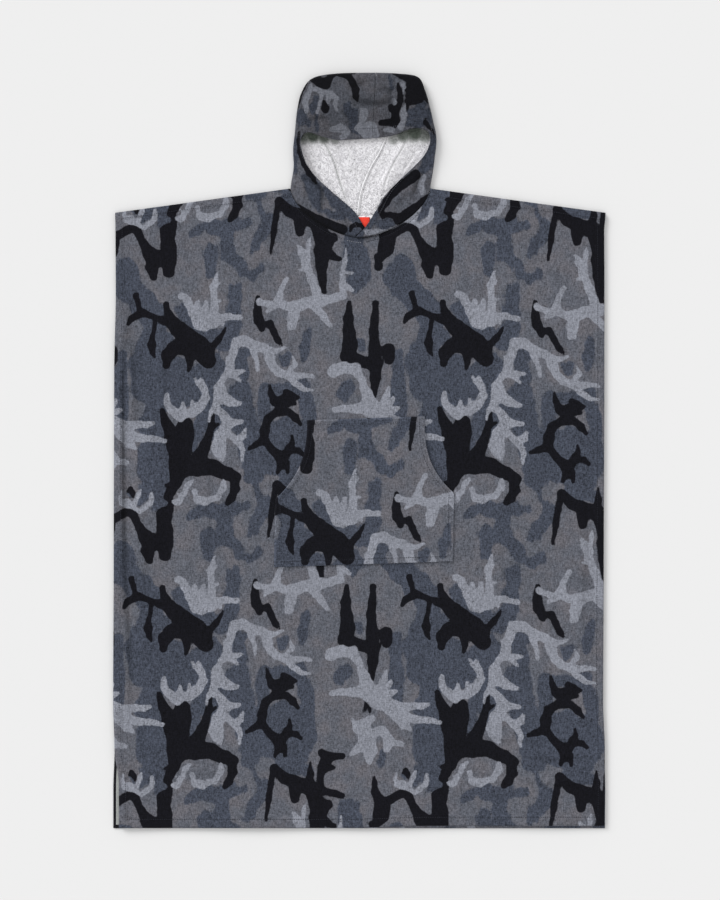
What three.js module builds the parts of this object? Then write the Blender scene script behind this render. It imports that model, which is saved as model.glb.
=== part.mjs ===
// A hooded bath poncho of velour towelling, laid flat and face up with its hood spread open.
// Units are millimetres. +Z is up, +Y runs from the hem to the hood, and +X is to the right of
// someone who looks down at the front. The origin lies under the middle of the cloth, on the
// surface that the back panel and the hood rest on.

import * as THREE from "three";

// The cloth
const WALL = 2; // velour outside, terry loops inside
const TURNING = 1; // what a turned hem or a seam allowance adds to the wall once it is pressed
const SEAM_GAP = 0.3;
const NECK_GAP = 0.4;
const RAMP = 2; // how quickly a turned band falls to the plain wall

// The body, which is a front and a back panel with open sides at the arms and vents at the hem
const HALF_WIDTH = 400;
const HEM_Y = -616;
const SHOULDER_TIP_Y = 388;
const NECK_Y = 427.5;
const NECK_LEFT = -112.3;
const NECK_RIGHT = 115.4;
const FRONT_NECK = { drop: 80.5, roundness: 1.6 };
const BACK_NECK = { drop: 44, roundness: 1.8 };
const SIDE_BAND = 13;
const HEM_BAND = 17;
const SHOULDER_BAND = 12;
const VENT_TOP_Y = -486;
const VENT_OPEN = { left: 8, right: 1 }; // how far the front's vent edge has moved inwards
const BACK_HEM_SHOWS = { left: 1, right: 4.5 }; // how far the front's hem lies above the back's
const FRONT_BASE = WALL + TURNING + SEAM_GAP;
const HEM_WAVE = { height: 1.6, length: 236, reach: 110 };

// The kangaroo pocket, in a frame of its own that is turned a little on the front
const POCKET = { x: 8.8, y: -66, turn: 1.9, height: 238, top: 95.8, bottom: 145.9 };
const POCKET_CORNER_Y = -8; // where the sewn side ends and the curved hand opening starts
const POCKET_CURVE = 2.8;
const POCKET_BAND = 10;
const POCKET_LIFT = 2.4; // how far the hand openings stand off the front

// The hood, two halves that are each folded from back to front round the outer edge
const FRONTS_CROSS = { left: -6.4, right: 20.7 }; // the right front laps over the left between these
const LAP = 2.8;
const SEAM_X = -2; // where the centre back seam meets the neckline
const HOOD_SEAM_RISE = 1.2;

// The woven label at the back of the neck
const LABEL = { x: 6, top: 381, width: 45, height: 29, thick: 0.6, step: 14 };

const SIDES = [
  // how far the side edges stand out past the half width
  { y: HEM_Y, left: 1.4, right: 0.8 },
  { y: -554, left: 1.4, right: 1.3 },
  { y: VENT_TOP_Y, left: -0.6, right: 0.2 },
  { y: -409, left: 1.4, right: -2.6 },
  { y: -178, left: 0.5, right: -1.5 },
  { y: 115, left: -0.2, right: -0.5 },
  { y: 262, left: -2.9, right: -0.3 },
  { y: 357, left: -2.4, right: -0.8 },
  { y: SHOULDER_TIP_Y, left: -1.9, right: 1.4 },
];

const FRONT_FOLDS = [
  // soft ridges and troughs of the front, each along a line from x1, y1 to x2, y2
  { x1: -384, y1: 196, x2: -372, y2: 66, height: 2.6, width: 26 },
  { x1: -352, y1: 92, x2: -340, y2: -150, height: 2.2, width: 34 },
  { x1: -318, y1: 228, x2: -312, y2: -34, height: 1.4, width: 30 },
  { x1: -356, y1: -160, x2: -350, y2: -404, height: 2.4, width: 38 },
  { x1: -300, y1: -210, x2: -292, y2: -330, height: 1.2, width: 34 },
  { x1: 368, y1: 250, x2: 356, y2: -30, height: 1.9, width: 36 },
  { x1: 356, y1: -176, x2: 366, y2: -452, height: 1.8, width: 34 },
  { x1: 300, y1: 120, x2: 292, y2: -60, height: 1.1, width: 38 },
  { x1: -132, y1: 402, x2: -186, y2: 300, height: 1.7, width: 34 },
  { x1: 138, y1: 402, x2: 186, y2: 292, height: 1.7, width: 34 },
  { x1: -40, y1: 318, x2: -52, y2: 200, height: 1.2, width: 32 },
  { x1: 62, y1: 316, x2: 84, y2: 190, height: 1.2, width: 34 },
  { x1: -262, y1: -506, x2: -60, y2: -524, height: 1.3, width: 30 },
  { x1: 112, y1: -552, x2: 330, y2: -540, height: 1.2, width: 28 },
];

// Each half of the hood, a row for each section from the neck to the centre seam. fold is the
// outer edge that the cloth turns round, edge is the hem of the face opening, foldTop and
// edgeTop are the heights of the upper side there, and puff is how far it swells between them.
const HOOD_LEFT = [
  { foldX: NECK_LEFT, foldY: 427.5, edgeX: 20.7, edgeY: 349, foldTop: 6.3, edgeTop: 6.3, puff: 0 },
  { foldX: -110.6, foldY: 441, edgeX: 9.3, edgeY: 363.2, foldTop: 6.8, edgeTop: 6.4, puff: 0.6 },
  { foldX: -108, foldY: 455, edgeX: -8, edgeY: 389.5, foldTop: 7.6, edgeTop: 7.2, puff: 1.8 },
  { foldX: -107, foldY: 468, edgeX: -33, edgeY: 412, foldTop: 8.6, edgeTop: 8.6, puff: 2.8 },
  { foldX: -107.8, foldY: 482, edgeX: -62, edgeY: 435.5, foldTop: 9.8, edgeTop: 10.4, puff: 2.4 },
  { foldX: -107.6, foldY: 497, edgeX: -84, edgeY: 462.5, foldTop: 11, edgeTop: 12.2, puff: 1.2 },
  { foldX: -105.6, foldY: 514, edgeX: -94, edgeY: 491, foldTop: 12, edgeTop: 13.2, puff: 0.4 },
  { foldX: -103.8, foldY: 533, edgeX: -94.6, edgeY: 508, foldTop: 12.6, edgeTop: 13.6, puff: 0.4 },
  { foldX: -101.2, foldY: 556, edgeX: -78, edgeY: 513, foldTop: 13, edgeTop: 14, puff: 1.6 },
  { foldX: -94.2, foldY: 584, edgeX: -55, edgeY: 510.5, foldTop: 13.2, edgeTop: 14.4, puff: 2.8 },
  { foldX: -77, foldY: 606.5, edgeX: -35, edgeY: 506, foldTop: 13.2, edgeTop: 14.8, puff: 3.4 },
  { foldX: -38, foldY: 614.6, edgeX: -8, edgeY: 507.5, foldTop: 13.2, edgeTop: 15, puff: 3.8 },
  { foldX: 27, foldY: 616, edgeX: 21, edgeY: 509, foldTop: 13.2, edgeTop: 15, puff: 3.8 },
];
const HOOD_RIGHT = [
  { foldX: NECK_RIGHT, foldY: 427.5, edgeX: -6.4, edgeY: 347, foldTop: 6.3, edgeTop: 6.3, puff: 0 },
  { foldX: 117.6, foldY: 441, edgeX: 9.3, edgeY: 363.2, foldTop: 6.8, edgeTop: 6.6, puff: 0.6 },
  { foldX: 119.8, foldY: 454, edgeX: 24, edgeY: 386, foldTop: 7.6, edgeTop: 8.4, puff: 1.6 },
  { foldX: 121.8, foldY: 468, edgeX: 40.5, edgeY: 414, foldTop: 8.8, edgeTop: 10, puff: 2.4 },
  { foldX: 123.6, foldY: 482, edgeX: 68, edgeY: 443, foldTop: 10, edgeTop: 11.4, puff: 2.4 },
  { foldX: 125.4, foldY: 498, edgeX: 100, edgeY: 473, foldTop: 11.2, edgeTop: 12.8, puff: 1.2 },
  { foldX: 125.4, foldY: 514, edgeX: 114, edgeY: 498, foldTop: 12, edgeTop: 13.6, puff: 0.4 },
  { foldX: 121.2, foldY: 534, edgeX: 113, edgeY: 517, foldTop: 12.6, edgeTop: 14, puff: 0.4 },
  { foldX: 114.6, foldY: 562, edgeX: 98, edgeY: 524.5, foldTop: 13, edgeTop: 14.4, puff: 1.4 },
  { foldX: 106, foldY: 588, edgeX: 80, edgeY: 522.5, foldTop: 13.2, edgeTop: 14.8, puff: 2.6 },
  { foldX: 92, foldY: 609, edgeX: 60, edgeY: 515, foldTop: 13.2, edgeTop: 15, puff: 3.4 },
  { foldX: 62, foldY: 614.6, edgeX: 40, edgeY: 511, foldTop: 13.2, edgeTop: 15, puff: 3.8 },
  { foldX: 27, foldY: 616, edgeX: 21, edgeY: 509, foldTop: 13.2, edgeTop: 15, puff: 3.8 },
];
const HOOD_SEAM = [
  // the centre back seam, from the neckline to where the last section starts, under the crown
  { x: SEAM_X, y: 383.5 },
  { x: 12.4, y: 420 },
  { x: 27, y: 457 },
  { x: 41, y: 493 },
  { x: 48, y: 528 },
  { x: 42, y: 560 },
];
const HOOD_CREASES = [
  // creases of the hood's back, seen through the face opening
  { x1: -60, y1: 530, x2: -20, y2: 404, height: 1.8, width: 17 },
  { x1: 82, y1: 516, x2: 44, y2: 432, height: 1.6, width: 17 },
];

const COLOURS = { print: 0x5a5c66, label: 0xd8382c };

const { lerp, smoothstep, degToRad } = THREE.MathUtils;

// The value of one column of a table at a place between its rows, eased from row to row.
function between(rows, key, at, column) {
  const rising = rows[0][key] < rows[rows.length - 1][key] ? 1 : -1;
  const next = rows.findIndex((row) => (row[key] - at) * rising > 0);
  if (next === 0) return rows[0][column];
  if (next < 0) return rows[rows.length - 1][column];
  const share = smoothstep(at * rising, rows[next - 1][key] * rising, rows[next][key] * rising);
  return lerp(rows[next - 1][column], rows[next][column], share);
}

// The summed height of every fold in a table at a place. A fold fades to nothing at its width.
function foldHeight(folds, x, y) {
  let height = 0;
  for (const fold of folds) {
    const along = new THREE.Vector2(fold.x2 - fold.x1, fold.y2 - fold.y1);
    const from = new THREE.Vector2(x - fold.x1, y - fold.y1);
    const share = THREE.MathUtils.clamp(from.dot(along) / along.lengthSq(), 0, 1);
    const distance = from.distanceTo(along.multiplyScalar(share));
    if (distance < fold.width) height += fold.height * (1 - (distance / fold.width) ** 2) ** 2;
  }
  return height;
}

// A closed wall from two grids of points of one size, its outer side and its inner side.
function wallGeometry(outer, inner) {
  const rows = outer.length;
  const columns = outer[0].length;
  const points = [...outer.flat(), ...inner.flat()];
  const at = (side, row, column) => side * rows * columns + row * columns + column;
  const faces = [];
  const quad = (a, b, c, d) => faces.push(a, b, c, a, c, d);
  for (let row = 0; row < rows - 1; row++) {
    for (let column = 0; column < columns - 1; column++) {
      const corners = (side) => [
        at(side, row, column + 1),
        at(side, row + 1, column + 1),
        at(side, row + 1, column),
        at(side, row, column),
      ];
      quad(...corners(0));
      const [a, b, c, d] = corners(1);
      faces.push(a, c, b, a, d, c);
    }
  }
  const border = [];
  for (let column = 0; column < columns - 1; column++) border.push([0, column]);
  for (let row = 0; row < rows - 1; row++) border.push([row, columns - 1]);
  for (let column = columns - 1; column > 0; column--) border.push([rows - 1, column]);
  for (let row = rows - 1; row > 0; row--) border.push([row, 0]);
  border.forEach(([row, column], i) => {
    const [nextRow, nextColumn] = border[(i + 1) % border.length];
    quad(at(0, nextRow, nextColumn), at(0, row, column), at(1, row, column), at(1, nextRow, nextColumn));
  });
  const geometry = new THREE.BufferGeometry();
  geometry.setAttribute("position", new THREE.Float32BufferAttribute(points.flat(), 3));
  geometry.setIndex(signedVolume(points, faces) < 0 ? turnedRound(faces) : faces);
  geometry.computeVertexNormals();
  return geometry;
}

function signedVolume(points, faces) {
  let volume = 0;
  for (let i = 0; i < faces.length; i += 3) {
    const [a, b, c] = [0, 1, 2].map((k) => new THREE.Vector3(...points[faces[i + k]]));
    volume += a.dot(b.cross(c)) / 6;
  }
  return volume;
}

function turnedRound(faces) {
  return faces.map((_, i) => faces[i % 3 === 0 ? i : i % 3 === 1 ? i + 1 : i - 1]);
}

// Places from one end to the other, closer together near the first.
function eased(from, to, steps) {
  const places = [];
  for (let i = 1; i <= steps; i++) places.push(lerp(from, to, 1 - Math.cos((Math.PI / 2) * (i / steps))));
  return places;
}

// The neckline's height at a place across it. neck says how deep and how round the scoop is.
function neckline(neck, x) {
  const middle = (NECK_LEFT + NECK_RIGHT) / 2;
  const share = Math.min(1, Math.abs(x - middle) / ((NECK_RIGHT - NECK_LEFT) / 2));
  return NECK_Y - neck.drop * (1 - share ** neck.roundness) ** (1 / neck.roundness);
}

// The upper edge of a body panel: the shoulders, and the scoop of the neck between them.
function upperEdge(neck, x) {
  if (x > NECK_LEFT && x < NECK_RIGHT) return neckline(neck, x);
  const past = x < 0 ? NECK_LEFT - x : x - NECK_RIGHT;
  const shoulder = x < 0 ? HALF_WIDTH + NECK_LEFT : HALF_WIDTH - NECK_RIGHT;
  return lerp(NECK_Y, SHOULDER_TIP_Y, past / shoulder);
}

function sideWander(x, y) {
  const side = x < 0 ? "left" : "right";
  return Math.sign(x) * between(SIDES, "y", y, side) * smoothstep(Math.abs(x), HALF_WIDTH / 2, HALF_WIDTH);
}

// The places across the neckline, with a finer spacing where it is steep. mark lists the places
// between the shoulders that need a column of their own.
const NECK_FOLD = (FRONT_BASE + WALL + TURNING) / 2; // the radius that the hood turns round at the neck
function neckPlaces(marks, steps, between) {
  const left = NECK_LEFT + NECK_FOLD;
  const right = NECK_RIGHT - NECK_FOLD;
  const inner = [];
  for (let i = 1; i < marks.length; i++) {
    for (let k = 1; k <= between; k++) inner.push(lerp(marks[i - 1], marks[i], k / between));
  }
  const down = [left, ...eased(left, marks[0], steps)];
  const up = [right, ...eased(right, marks[marks.length - 1], steps)].reverse().slice(1);
  return { left: down, middle: inner, right: up };
}
const NECK_STEPS = 7;
const FRONT_NECK_X = neckPlaces([FRONTS_CROSS.left, FRONTS_CROSS.right], NECK_STEPS, 2);
const BACK_NECK_X = neckPlaces([SEAM_X], NECK_STEPS, 1);

// The columns of a body panel, from left to right. A turned one lies in a hem or an allowance.
function panelColumns(neckX, sideSteps) {
  const band = (side) => [
    { x: side * HALF_WIDTH, turned: true },
    { x: side * (HALF_WIDTH - SIDE_BAND), turned: true },
    { x: side * (HALF_WIDTH - SIDE_BAND - RAMP), turned: false },
  ];
  const plain = (places) => places.map((x) => ({ x, turned: false }));
  const inner = HALF_WIDTH - SIDE_BAND - RAMP;
  return [
    ...band(-1),
    ...plain(eased(-inner, NECK_LEFT, sideSteps)),
    ...plain([...neckX.left, ...neckX.middle, ...neckX.right]),
    ...plain(eased(inner, NECK_RIGHT, sideSteps)).reverse(),
    ...band(1).reverse(),
  ];
}

// The rows of a body panel, from the hem to the shoulders, as a share of the way and an offset.
function panelRows(steps) {
  const rows = [
    { share: 0, offset: 0, turned: true },
    { share: 0, offset: HEM_BAND, turned: true },
    { share: 0, offset: HEM_BAND + RAMP, turned: false },
  ];
  for (let i = 1; i < steps; i++) rows.push({ share: i / steps, offset: 0, turned: false });
  rows.push({ share: 1, offset: -SHOULDER_BAND - RAMP, turned: false });
  rows.push({ share: 1, offset: -SHOULDER_BAND, turned: true });
  rows.push({ share: 1, offset: 0, turned: true });
  return rows;
}

// A body panel's wall, from the functions that place a column and a row and give its two sides.
function bodyPanel(columns, rows, place, heights) {
  const upper = [];
  const lower = [];
  for (const row of rows) {
    const above = [];
    const below = [];
    for (const column of columns) {
      const [x, y] = place(column.x, row);
      const [low, high] = heights(x, y, row.turned || column.turned);
      above.push([x, y, high]);
      below.push([x, y, low]);
    }
    upper.push(above);
    lower.push(below);
  }
  return wallGeometry(upper, lower);
}

function backPanel() {
  const place = (x, row) => {
    const y = lerp(HEM_Y, upperEdge(BACK_NECK, x), row.share) + row.offset;
    return [x + sideWander(x, y), y];
  };
  const heights = (x, y, turned) => [0, WALL + (turned ? TURNING : 0)];
  return bodyPanel(panelColumns(BACK_NECK_X, 4), panelRows(7), place, heights);
}

function frontPlace(x, row) {
  const hem = HEM_Y + lerp(BACK_HEM_SHOWS.left, BACK_HEM_SHOWS.right, smoothstep(x, -20, 110));
  const y = lerp(hem, upperEdge(FRONT_NECK, x), row.share) + row.offset;
  const open = x < 0 ? VENT_OPEN.left : VENT_OPEN.right;
  const vent = open * (1 - smoothstep(y, VENT_TOP_Y - 60, VENT_TOP_Y)) * smoothstep(Math.abs(x), 250, HALF_WIDTH);
  return [x + sideWander(x, y) - Math.sign(x) * vent, y];
}

// How far the front panel stands off its base, in folds and in the waves of its hem.
function frontLift(x, y) {
  const wave = 0.5 + 0.5 * Math.sin((2 * Math.PI * x) / HEM_WAVE.length);
  const nearHem = 1 - smoothstep(y, HEM_Y, HEM_Y + HEM_WAVE.reach);
  return foldHeight(FRONT_FOLDS, x, y) + HEM_WAVE.height * wave * nearHem;
}

function frontPanel() {
  const heights = (x, y, turned) => {
    const low = FRONT_BASE + frontLift(x, y);
    return [low, low + WALL + (turned ? TURNING : 0)];
  };
  return bodyPanel(panelColumns(FRONT_NECK_X, 9), panelRows(24), frontPlace, heights);
}

// Half of the pocket's width at a height in its own frame.
function pocketHalfWidth(y) {
  const top = POCKET.height / 2;
  if (y < POCKET_CORNER_Y) return POCKET.bottom;
  const share = (top - y) / (top - POCKET_CORNER_Y);
  return lerp(POCKET.top, POCKET.bottom, share ** POCKET_CURVE);
}

// The pocket lies on the front's plain middle. Its sewn edges lie close, its openings stand off.
function pocketPanel() {
  const half = POCKET.height / 2;
  const edges = [0, POCKET_BAND, POCKET_BAND + RAMP];
  const heights = edges.map((offset) => ({ y: offset - half, turned: offset <= POCKET_BAND }));
  for (const y of [-70, -38, POCKET_CORNER_Y, 8, 24, 42, 62, 82]) heights.push({ y, turned: false });
  heights.push(...edges.map((offset) => ({ y: half - offset, turned: offset <= POCKET_BAND })).reverse());
  const across = [];
  const innerSteps = 8;
  for (let i = 1; i < innerSteps; i++) across.push({ share: (2 * i) / innerSteps - 1, offset: 0 });
  const band = (side) => edges.map((offset) => ({ share: side, offset, turned: offset <= POCKET_BAND }));
  const columns = [...band(-1), ...across, ...band(1).reverse()];
  const turn = degToRad(POCKET.turn);
  const base = FRONT_BASE + WALL + SEAM_GAP;
  const upper = [];
  const lower = [];
  for (const row of heights) {
    const above = [];
    const below = [];
    const width = pocketHalfWidth(row.y);
    const open = smoothstep(row.y, POCKET_CORNER_Y, POCKET_CORNER_Y + 30) * (1 - smoothstep(row.y, 70, half));
    for (const column of columns) {
      const inner = width - POCKET_BAND - RAMP;
      const x = column.offset || Math.abs(column.share) === 1
        ? Math.sign(column.share) * (width - column.offset)
        : column.share * inner;
      const nearSide = smoothstep(Math.abs(x), width * 0.35, width);
      const low = base + POCKET_LIFT * open * (0.35 + 0.65 * nearSide);
      const thick = WALL + (row.turned || column.turned ? TURNING * 0.8 : 0);
      const place = [
        POCKET.x + x * Math.cos(turn) - row.y * Math.sin(turn),
        POCKET.y + x * Math.sin(turn) + row.y * Math.cos(turn),
      ];
      above.push([...place, low + thick]);
      below.push([...place, low]);
    }
    upper.push(above);
    lower.push(below);
  }
  return wallGeometry(upper, lower);
}

// A point of the hood's neck edge, just clear of a body panel's neckline.
function neckEdge(neck, x) {
  const step = 0.05;
  const rise = (neckline(neck, x + step) - neckline(neck, x - step)) / (2 * step);
  const out = new THREE.Vector2(-rise, 1).normalize().multiplyScalar(NECK_GAP);
  return new THREE.Vector2(x + out.x, neckline(neck, x) + out.y);
}

// One half of the hood. side is -1 for the left half and 1 for the right. Sections run from the
// centre back seam outwards along the back, round the fold, and inwards to the face opening.
function hoodHalf(side) {
  const table = side < 0 ? HOOD_LEFT : HOOD_RIGHT;
  const curve = (rows, x, y) => new THREE.SplineCurve(rows.map((row) => new THREE.Vector2(row[x], row[y])));
  const folds = curve(table, "foldX", "foldY");
  const edges = curve(table, "edgeX", "edgeY");
  const seam = curve(HOOD_SEAM, "x", "y");
  const last = table.length - 1;
  const numbered = table.map((row, number) => ({ ...row, number }));
  const sections = 20;
  const foldSteps = 6;
  const backX = side < 0 ? [...BACK_NECK_X.left].reverse() : BACK_NECK_X.right;
  const neckX = side < 0
    ? [...FRONT_NECK_X.left, ...FRONT_NECK_X.middle]
    : [FRONT_NECK_X.left.at(-1), ...FRONT_NECK_X.middle, ...FRONT_NECK_X.right.slice(0)].reverse();
  const backPlaces = side < 0 ? backX : [SEAM_X, ...backX];
  const frontPlaces = neckX;
  const shares = (places) => places.map((x) => (x - places[0]) / (places[places.length - 1] - places[0]));
  const backShares = shares(backPlaces);
  const frontShares = shares(frontPlaces);

  const outer = [];
  const inner = [];
  for (let i = 0; i <= sections; i++) {
    const share = i / sections;
    const number = share * last;
    const value = (column) => between(numbered, "number", number, column);
    const fold = folds.getPoint(share);
    const edge = edges.getPoint(share);
    const start = seam.getPoint(share);
    const tangent = folds.getTangent(Math.min(share, 0.999));
    const out = new THREE.Vector2(side * tangent.y, -side * tangent.x);
    out.lerp(new THREE.Vector2(0, 1), smoothstep(number, last - 1, last)).normalize();
    if (i === 0) out.set(side, 0);
    const radius = value("foldTop") / 2;
    const rim = fold.clone().addScaledVector(out, -radius);
    const atNeck = (1 - Math.min(1, number / 3)) ** 2;
    const halfGap = (SEAM_GAP / 2) * 1.3;

    const outside = [];
    const inside = [];
    const add = (plan, low, high, shift = plan) => {
      outside.push([plan.x, plan.y, low]);
      inside.push([shift.x, shift.y, high]);
    };

    // The neck edge follows the scoop of the panel that it is sewn to, and fades up the hood.
    const bend = (neck, places, k) => {
      const rimAtNeck = new THREE.Vector2(table[0].foldX - side * NECK_FOLD, table[0].foldY);
      const ends = neck === BACK_NECK
        ? [new THREE.Vector2(HOOD_SEAM[0].x, HOOD_SEAM[0].y), rimAtNeck]
        : [rimAtNeck, new THREE.Vector2(table[0].edgeX, table[0].edgeY)];
      const part = (places[k] - places[0]) / (places[places.length - 1] - places[0]);
      return neckEdge(neck, places[k]).sub(ends[0].lerp(ends[1], part)).multiplyScalar(atNeck);
    };

    backShares.forEach((part, k) => {
      const plan = start.clone().lerp(rim, part).add(bend(BACK_NECK, backPlaces, k));
      if (k === 0 || i === sections) plan.x += side * halfGap;
      const ridge = k === 0 ? HOOD_SEAM_RISE : 0;
      add(plan, 0, WALL + ridge + foldHeight(HOOD_CREASES, plan.x, plan.y) * (part < 0.9 ? 1 : 0));
    });

    for (let k = 1; k < foldSteps; k++) {
      const angle = -Math.PI / 2 + (Math.PI * k) / foldSteps;
      const neck = angle < 0 ? BACK_NECK : FRONT_NECK;
      const places = angle < 0 ? backPlaces : frontPlaces;
      const end = angle < 0 ? backPlaces.length - 1 : 0;
      const pull = bend(neck, places, end).multiplyScalar(1 - Math.cos(angle));
      const corner = new THREE.Vector2(-side, 1).multiplyScalar(NECK_GAP * atNeck * Math.cos(angle));
      const base = rim.clone().add(pull).add(corner);
      if (i === sections) base.x += side * halfGap;
      const plan = base.clone().addScaledVector(out, radius * Math.cos(angle));
      const within = base.clone().addScaledVector(out, (radius - WALL) * Math.cos(angle));
      add(plan, radius + radius * Math.sin(angle), radius + (radius - WALL) * Math.sin(angle), within);
    }

    frontShares.forEach((part, k) => {
      const plan = rim.clone().lerp(edge, part).add(bend(FRONT_NECK, frontPlaces, k));
      if (i === sections) plan.x += side * halfGap;
      const eased = smoothstep(part, 0, 1);
      const flat = lerp(value("foldTop"), value("edgeTop"), eased) + value("puff") * Math.sin(Math.PI * part);
      const lapped = side > 0
        ? LAP * (1 - smoothstep(plan.x, FRONTS_CROSS.right + 5, 52)) * (1 - smoothstep(number, 1.4, 4))
        : 0;
      add(plan, flat + lapped, flat + lapped - WALL);
    });
    outer.push(outside);
    inner.push(inside);
  }
  return wallGeometry(outer, inner);
}

// The label hangs from the back neck seam, over the seam's allowance and onto the back panel.
function labelGeometry() {
  const rows = [0, LABEL.step, LABEL.step + 7, LABEL.height];
  const upper = [];
  const lower = [];
  for (const down of rows) {
    const low = WALL + SEAM_GAP + (down <= LABEL.step ? TURNING : 0);
    const sides = [-1, -1 / 3, 1 / 3, 1].map((share) => LABEL.x + (share * LABEL.width) / 2);
    upper.push(sides.map((x) => [x, LABEL.top - down, low + LABEL.thick]));
    lower.push(sides.map((x) => [x, LABEL.top - down, low]));
  }
  return wallGeometry(upper, lower);
}

function piece(name, geometry, colour) {
  const material = new THREE.MeshStandardMaterial({ color: colour, roughness: 0.95, metalness: 0 });
  const mesh = new THREE.Mesh(geometry, material);
  mesh.name = name;
  return mesh;
}

const poncho = new THREE.Group();
poncho.add(
  piece("back", backPanel(), COLOURS.print),
  piece("front", frontPanel(), COLOURS.print),
  piece("pocket", pocketPanel(), COLOURS.print),
  piece("hood_left", hoodHalf(-1), COLOURS.print),
  piece("hood_right", hoodHalf(1), COLOURS.print),
  piece("neck_label", labelGeometry(), COLOURS.label),
);

export default poncho;
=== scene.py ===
"""A hooded bath poncho of printed velour towelling, laid flat and face up with its hood spread open.

All sizes are millimetres until a mesh is made. +Z is up, +Y runs from the hem to the hood.
"""

import itertools
import math

import bpy
import numpy as np
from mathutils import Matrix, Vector


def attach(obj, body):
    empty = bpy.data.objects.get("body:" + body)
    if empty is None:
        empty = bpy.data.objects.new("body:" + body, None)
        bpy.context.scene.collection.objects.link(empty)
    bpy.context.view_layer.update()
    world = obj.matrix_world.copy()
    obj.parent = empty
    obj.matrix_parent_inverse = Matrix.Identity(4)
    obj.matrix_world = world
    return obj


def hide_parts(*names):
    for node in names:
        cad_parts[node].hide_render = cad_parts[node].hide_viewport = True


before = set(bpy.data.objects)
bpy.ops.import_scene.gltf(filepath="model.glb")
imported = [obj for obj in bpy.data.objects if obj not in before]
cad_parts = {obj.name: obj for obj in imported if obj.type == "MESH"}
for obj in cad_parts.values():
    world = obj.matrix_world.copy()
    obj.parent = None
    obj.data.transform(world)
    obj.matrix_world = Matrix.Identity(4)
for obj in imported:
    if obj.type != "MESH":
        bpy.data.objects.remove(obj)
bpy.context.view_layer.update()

MM = 0.001
UP = np.array([0.0, 0.0, 1.0])
rng = np.random.default_rng(7)

# The same sizes as the solids have
WALL = 2.0
TURNING = 1.0
SEAM_GAP = 0.3
HALF_WIDTH = 400.0
HEM_Y = -616.0
SHOULDER_TIP_Y = 388.0
NECK_Y = 427.5
NECK_LEFT = -112.3
NECK_RIGHT = 115.4
NECK_MIDDLE = (NECK_LEFT + NECK_RIGHT) / 2
NECK_HALF = (NECK_RIGHT - NECK_LEFT) / 2
FRONT_NECK = (80.5, 1.6)
BACK_NECK = (44.0, 1.8)
SIDE_BAND = 13.0
HEM_BAND = 17.0
SHOULDER_BAND = 12.0
VENT_TOP_Y = -486.0
# How far the front's hem lies above the back's, on the left and on the right
BACK_HEM_SHOWS = (1.0, 4.5)
HEM_RISES = (-20.0, 110.0)
FRONT_BASE = WALL + TURNING + SEAM_GAP
HEM_WAVE = {"height": 1.6, "length": 236.0, "reach": 110.0}
POCKET = {"x": 8.8, "y": -66.0, "turn": 1.9, "half": 119.0, "top": 95.8, "bottom": 145.9}
POCKET_CORNER_Y = -8.0
POCKET_CURVE = 2.8
POCKET_BAND = 10.0
POCKET_LIFT = 2.4
LAP = 2.8

# How far the front's edges have moved inwards at its left vent, 1.4 more than on the solids, and at its right
VENT_OPEN = (9.4, 1.0)
# A vent is fully open this far below its top, and the cloth is drawn along from this far out
VENT_RUN = 60.0
VENT_DRAWN = 250.0
# The back's rolled edge beside the left vent, and the black that its print has there
VENT_BAND = 4.6
VENT_BLACK = [((-400, -504, 9), (-400, -616, 9))]
# Narrower than the solids' gap, so that no towelling shows through the seam
NECK_GAP = 0.1
# How far each half of the hood lies from the seam that joins them
HALF_GAP = 0.2
HOOD_HEM = 18.0
# Over how far above its corner a hand opening lifts, and above which height it sinks again
POCKET_OPENS = 30.0
POCKET_CLOSES_Y = 70.0
# The share of its half width in which the pocket lifts least, and the share of the lift it has there
POCKET_MIDDLE = 0.35
# The pocket's sides lean to the right by this many degrees, which its solid's sides don't
POCKET_LEAN = 1.0
# Half the width and height of the front's quiet part beneath the pocket, and the shares where it ends
QUIET_HALF = (175.0, 150.0)
QUIET_ENDS = (0.85, 1.15)
# No crease takes the front's underside lower, onto the back
LOWEST_FRONT = 2.5
# The lowest places of the undersides that lie on the floor
FLOOR_GAP = 0.12

# A cloth's edge: the radius it is rounded with, and the share of its thickness that is left there
EDGE_RADIUS = 1.4
EDGE_LEFT = 0.04
# What is turned in at the pocket and at the hood's opening adds less to the wall
THIN_TURNING = 0.8
# A turned band: the ramp about its inner edge, and its row of stitches, which lies in a groove
BAND_RAMP = (-0.6, 1.6)
STITCH_INSET = 2.0
GROOVE_DEPTH = 0.5
GROOVE_WIDTH = 0.9
# The roll of the front's neckline, and its groove: depth, distance from the edge, width
NECK_ROLL = 0.8
NECK_ROLL_ENDS = (2.0, 8.0)
NECK_GROOVE = (0.45, 7.0, 1.2)
# Over how far to both sides of the neck's ends its roll fades out
NECK_FADE = 6.0
# Gathers beside stitches: height, reach and length, and for each wave of their drift its size and length
PUCKER = {"height": 0.24, "reach": 5.0, "length": 1.7}
PUCKER_DRIFT = ((1.7, 23.0), (1.1, 9.3))
# The ridge beside a crease: how far off it lies and how wide it is, in widths of the crease
RIDGE_AWAY = 2.2
RIDGE_WIDTH = 1.5
# How far round its points a crease is worked out, in its widths
CREASE_REACH = 6
# The size of the broad, the small and the tiny waves that each cloth lies in
UNEVEN = {
    "front": (0.5, 0.5, 0), "back": (0, 0.35, 0.3), "hood": (0.6, 0.6, 0.2), "hood_inside": (0, 0.35, 0.2),
}
# Between which distances from its edges each cloth's unevenness, and the front's creases, grow
FADES = {"front": (4, 30), "creases": (8, 16), "back": (3, 16), "pocket": (6, 30)}

# Distances from an edge at which every panel has a row of points, and the one that is stitched
NEAR_EDGE = np.array([0, 0.3, 1.2, 4.6, 6, 7.6, 9, 10.9, 11.8, 12.8, 13.8, 15.2, 17, 19, 22])
STITCHED = 7
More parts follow.
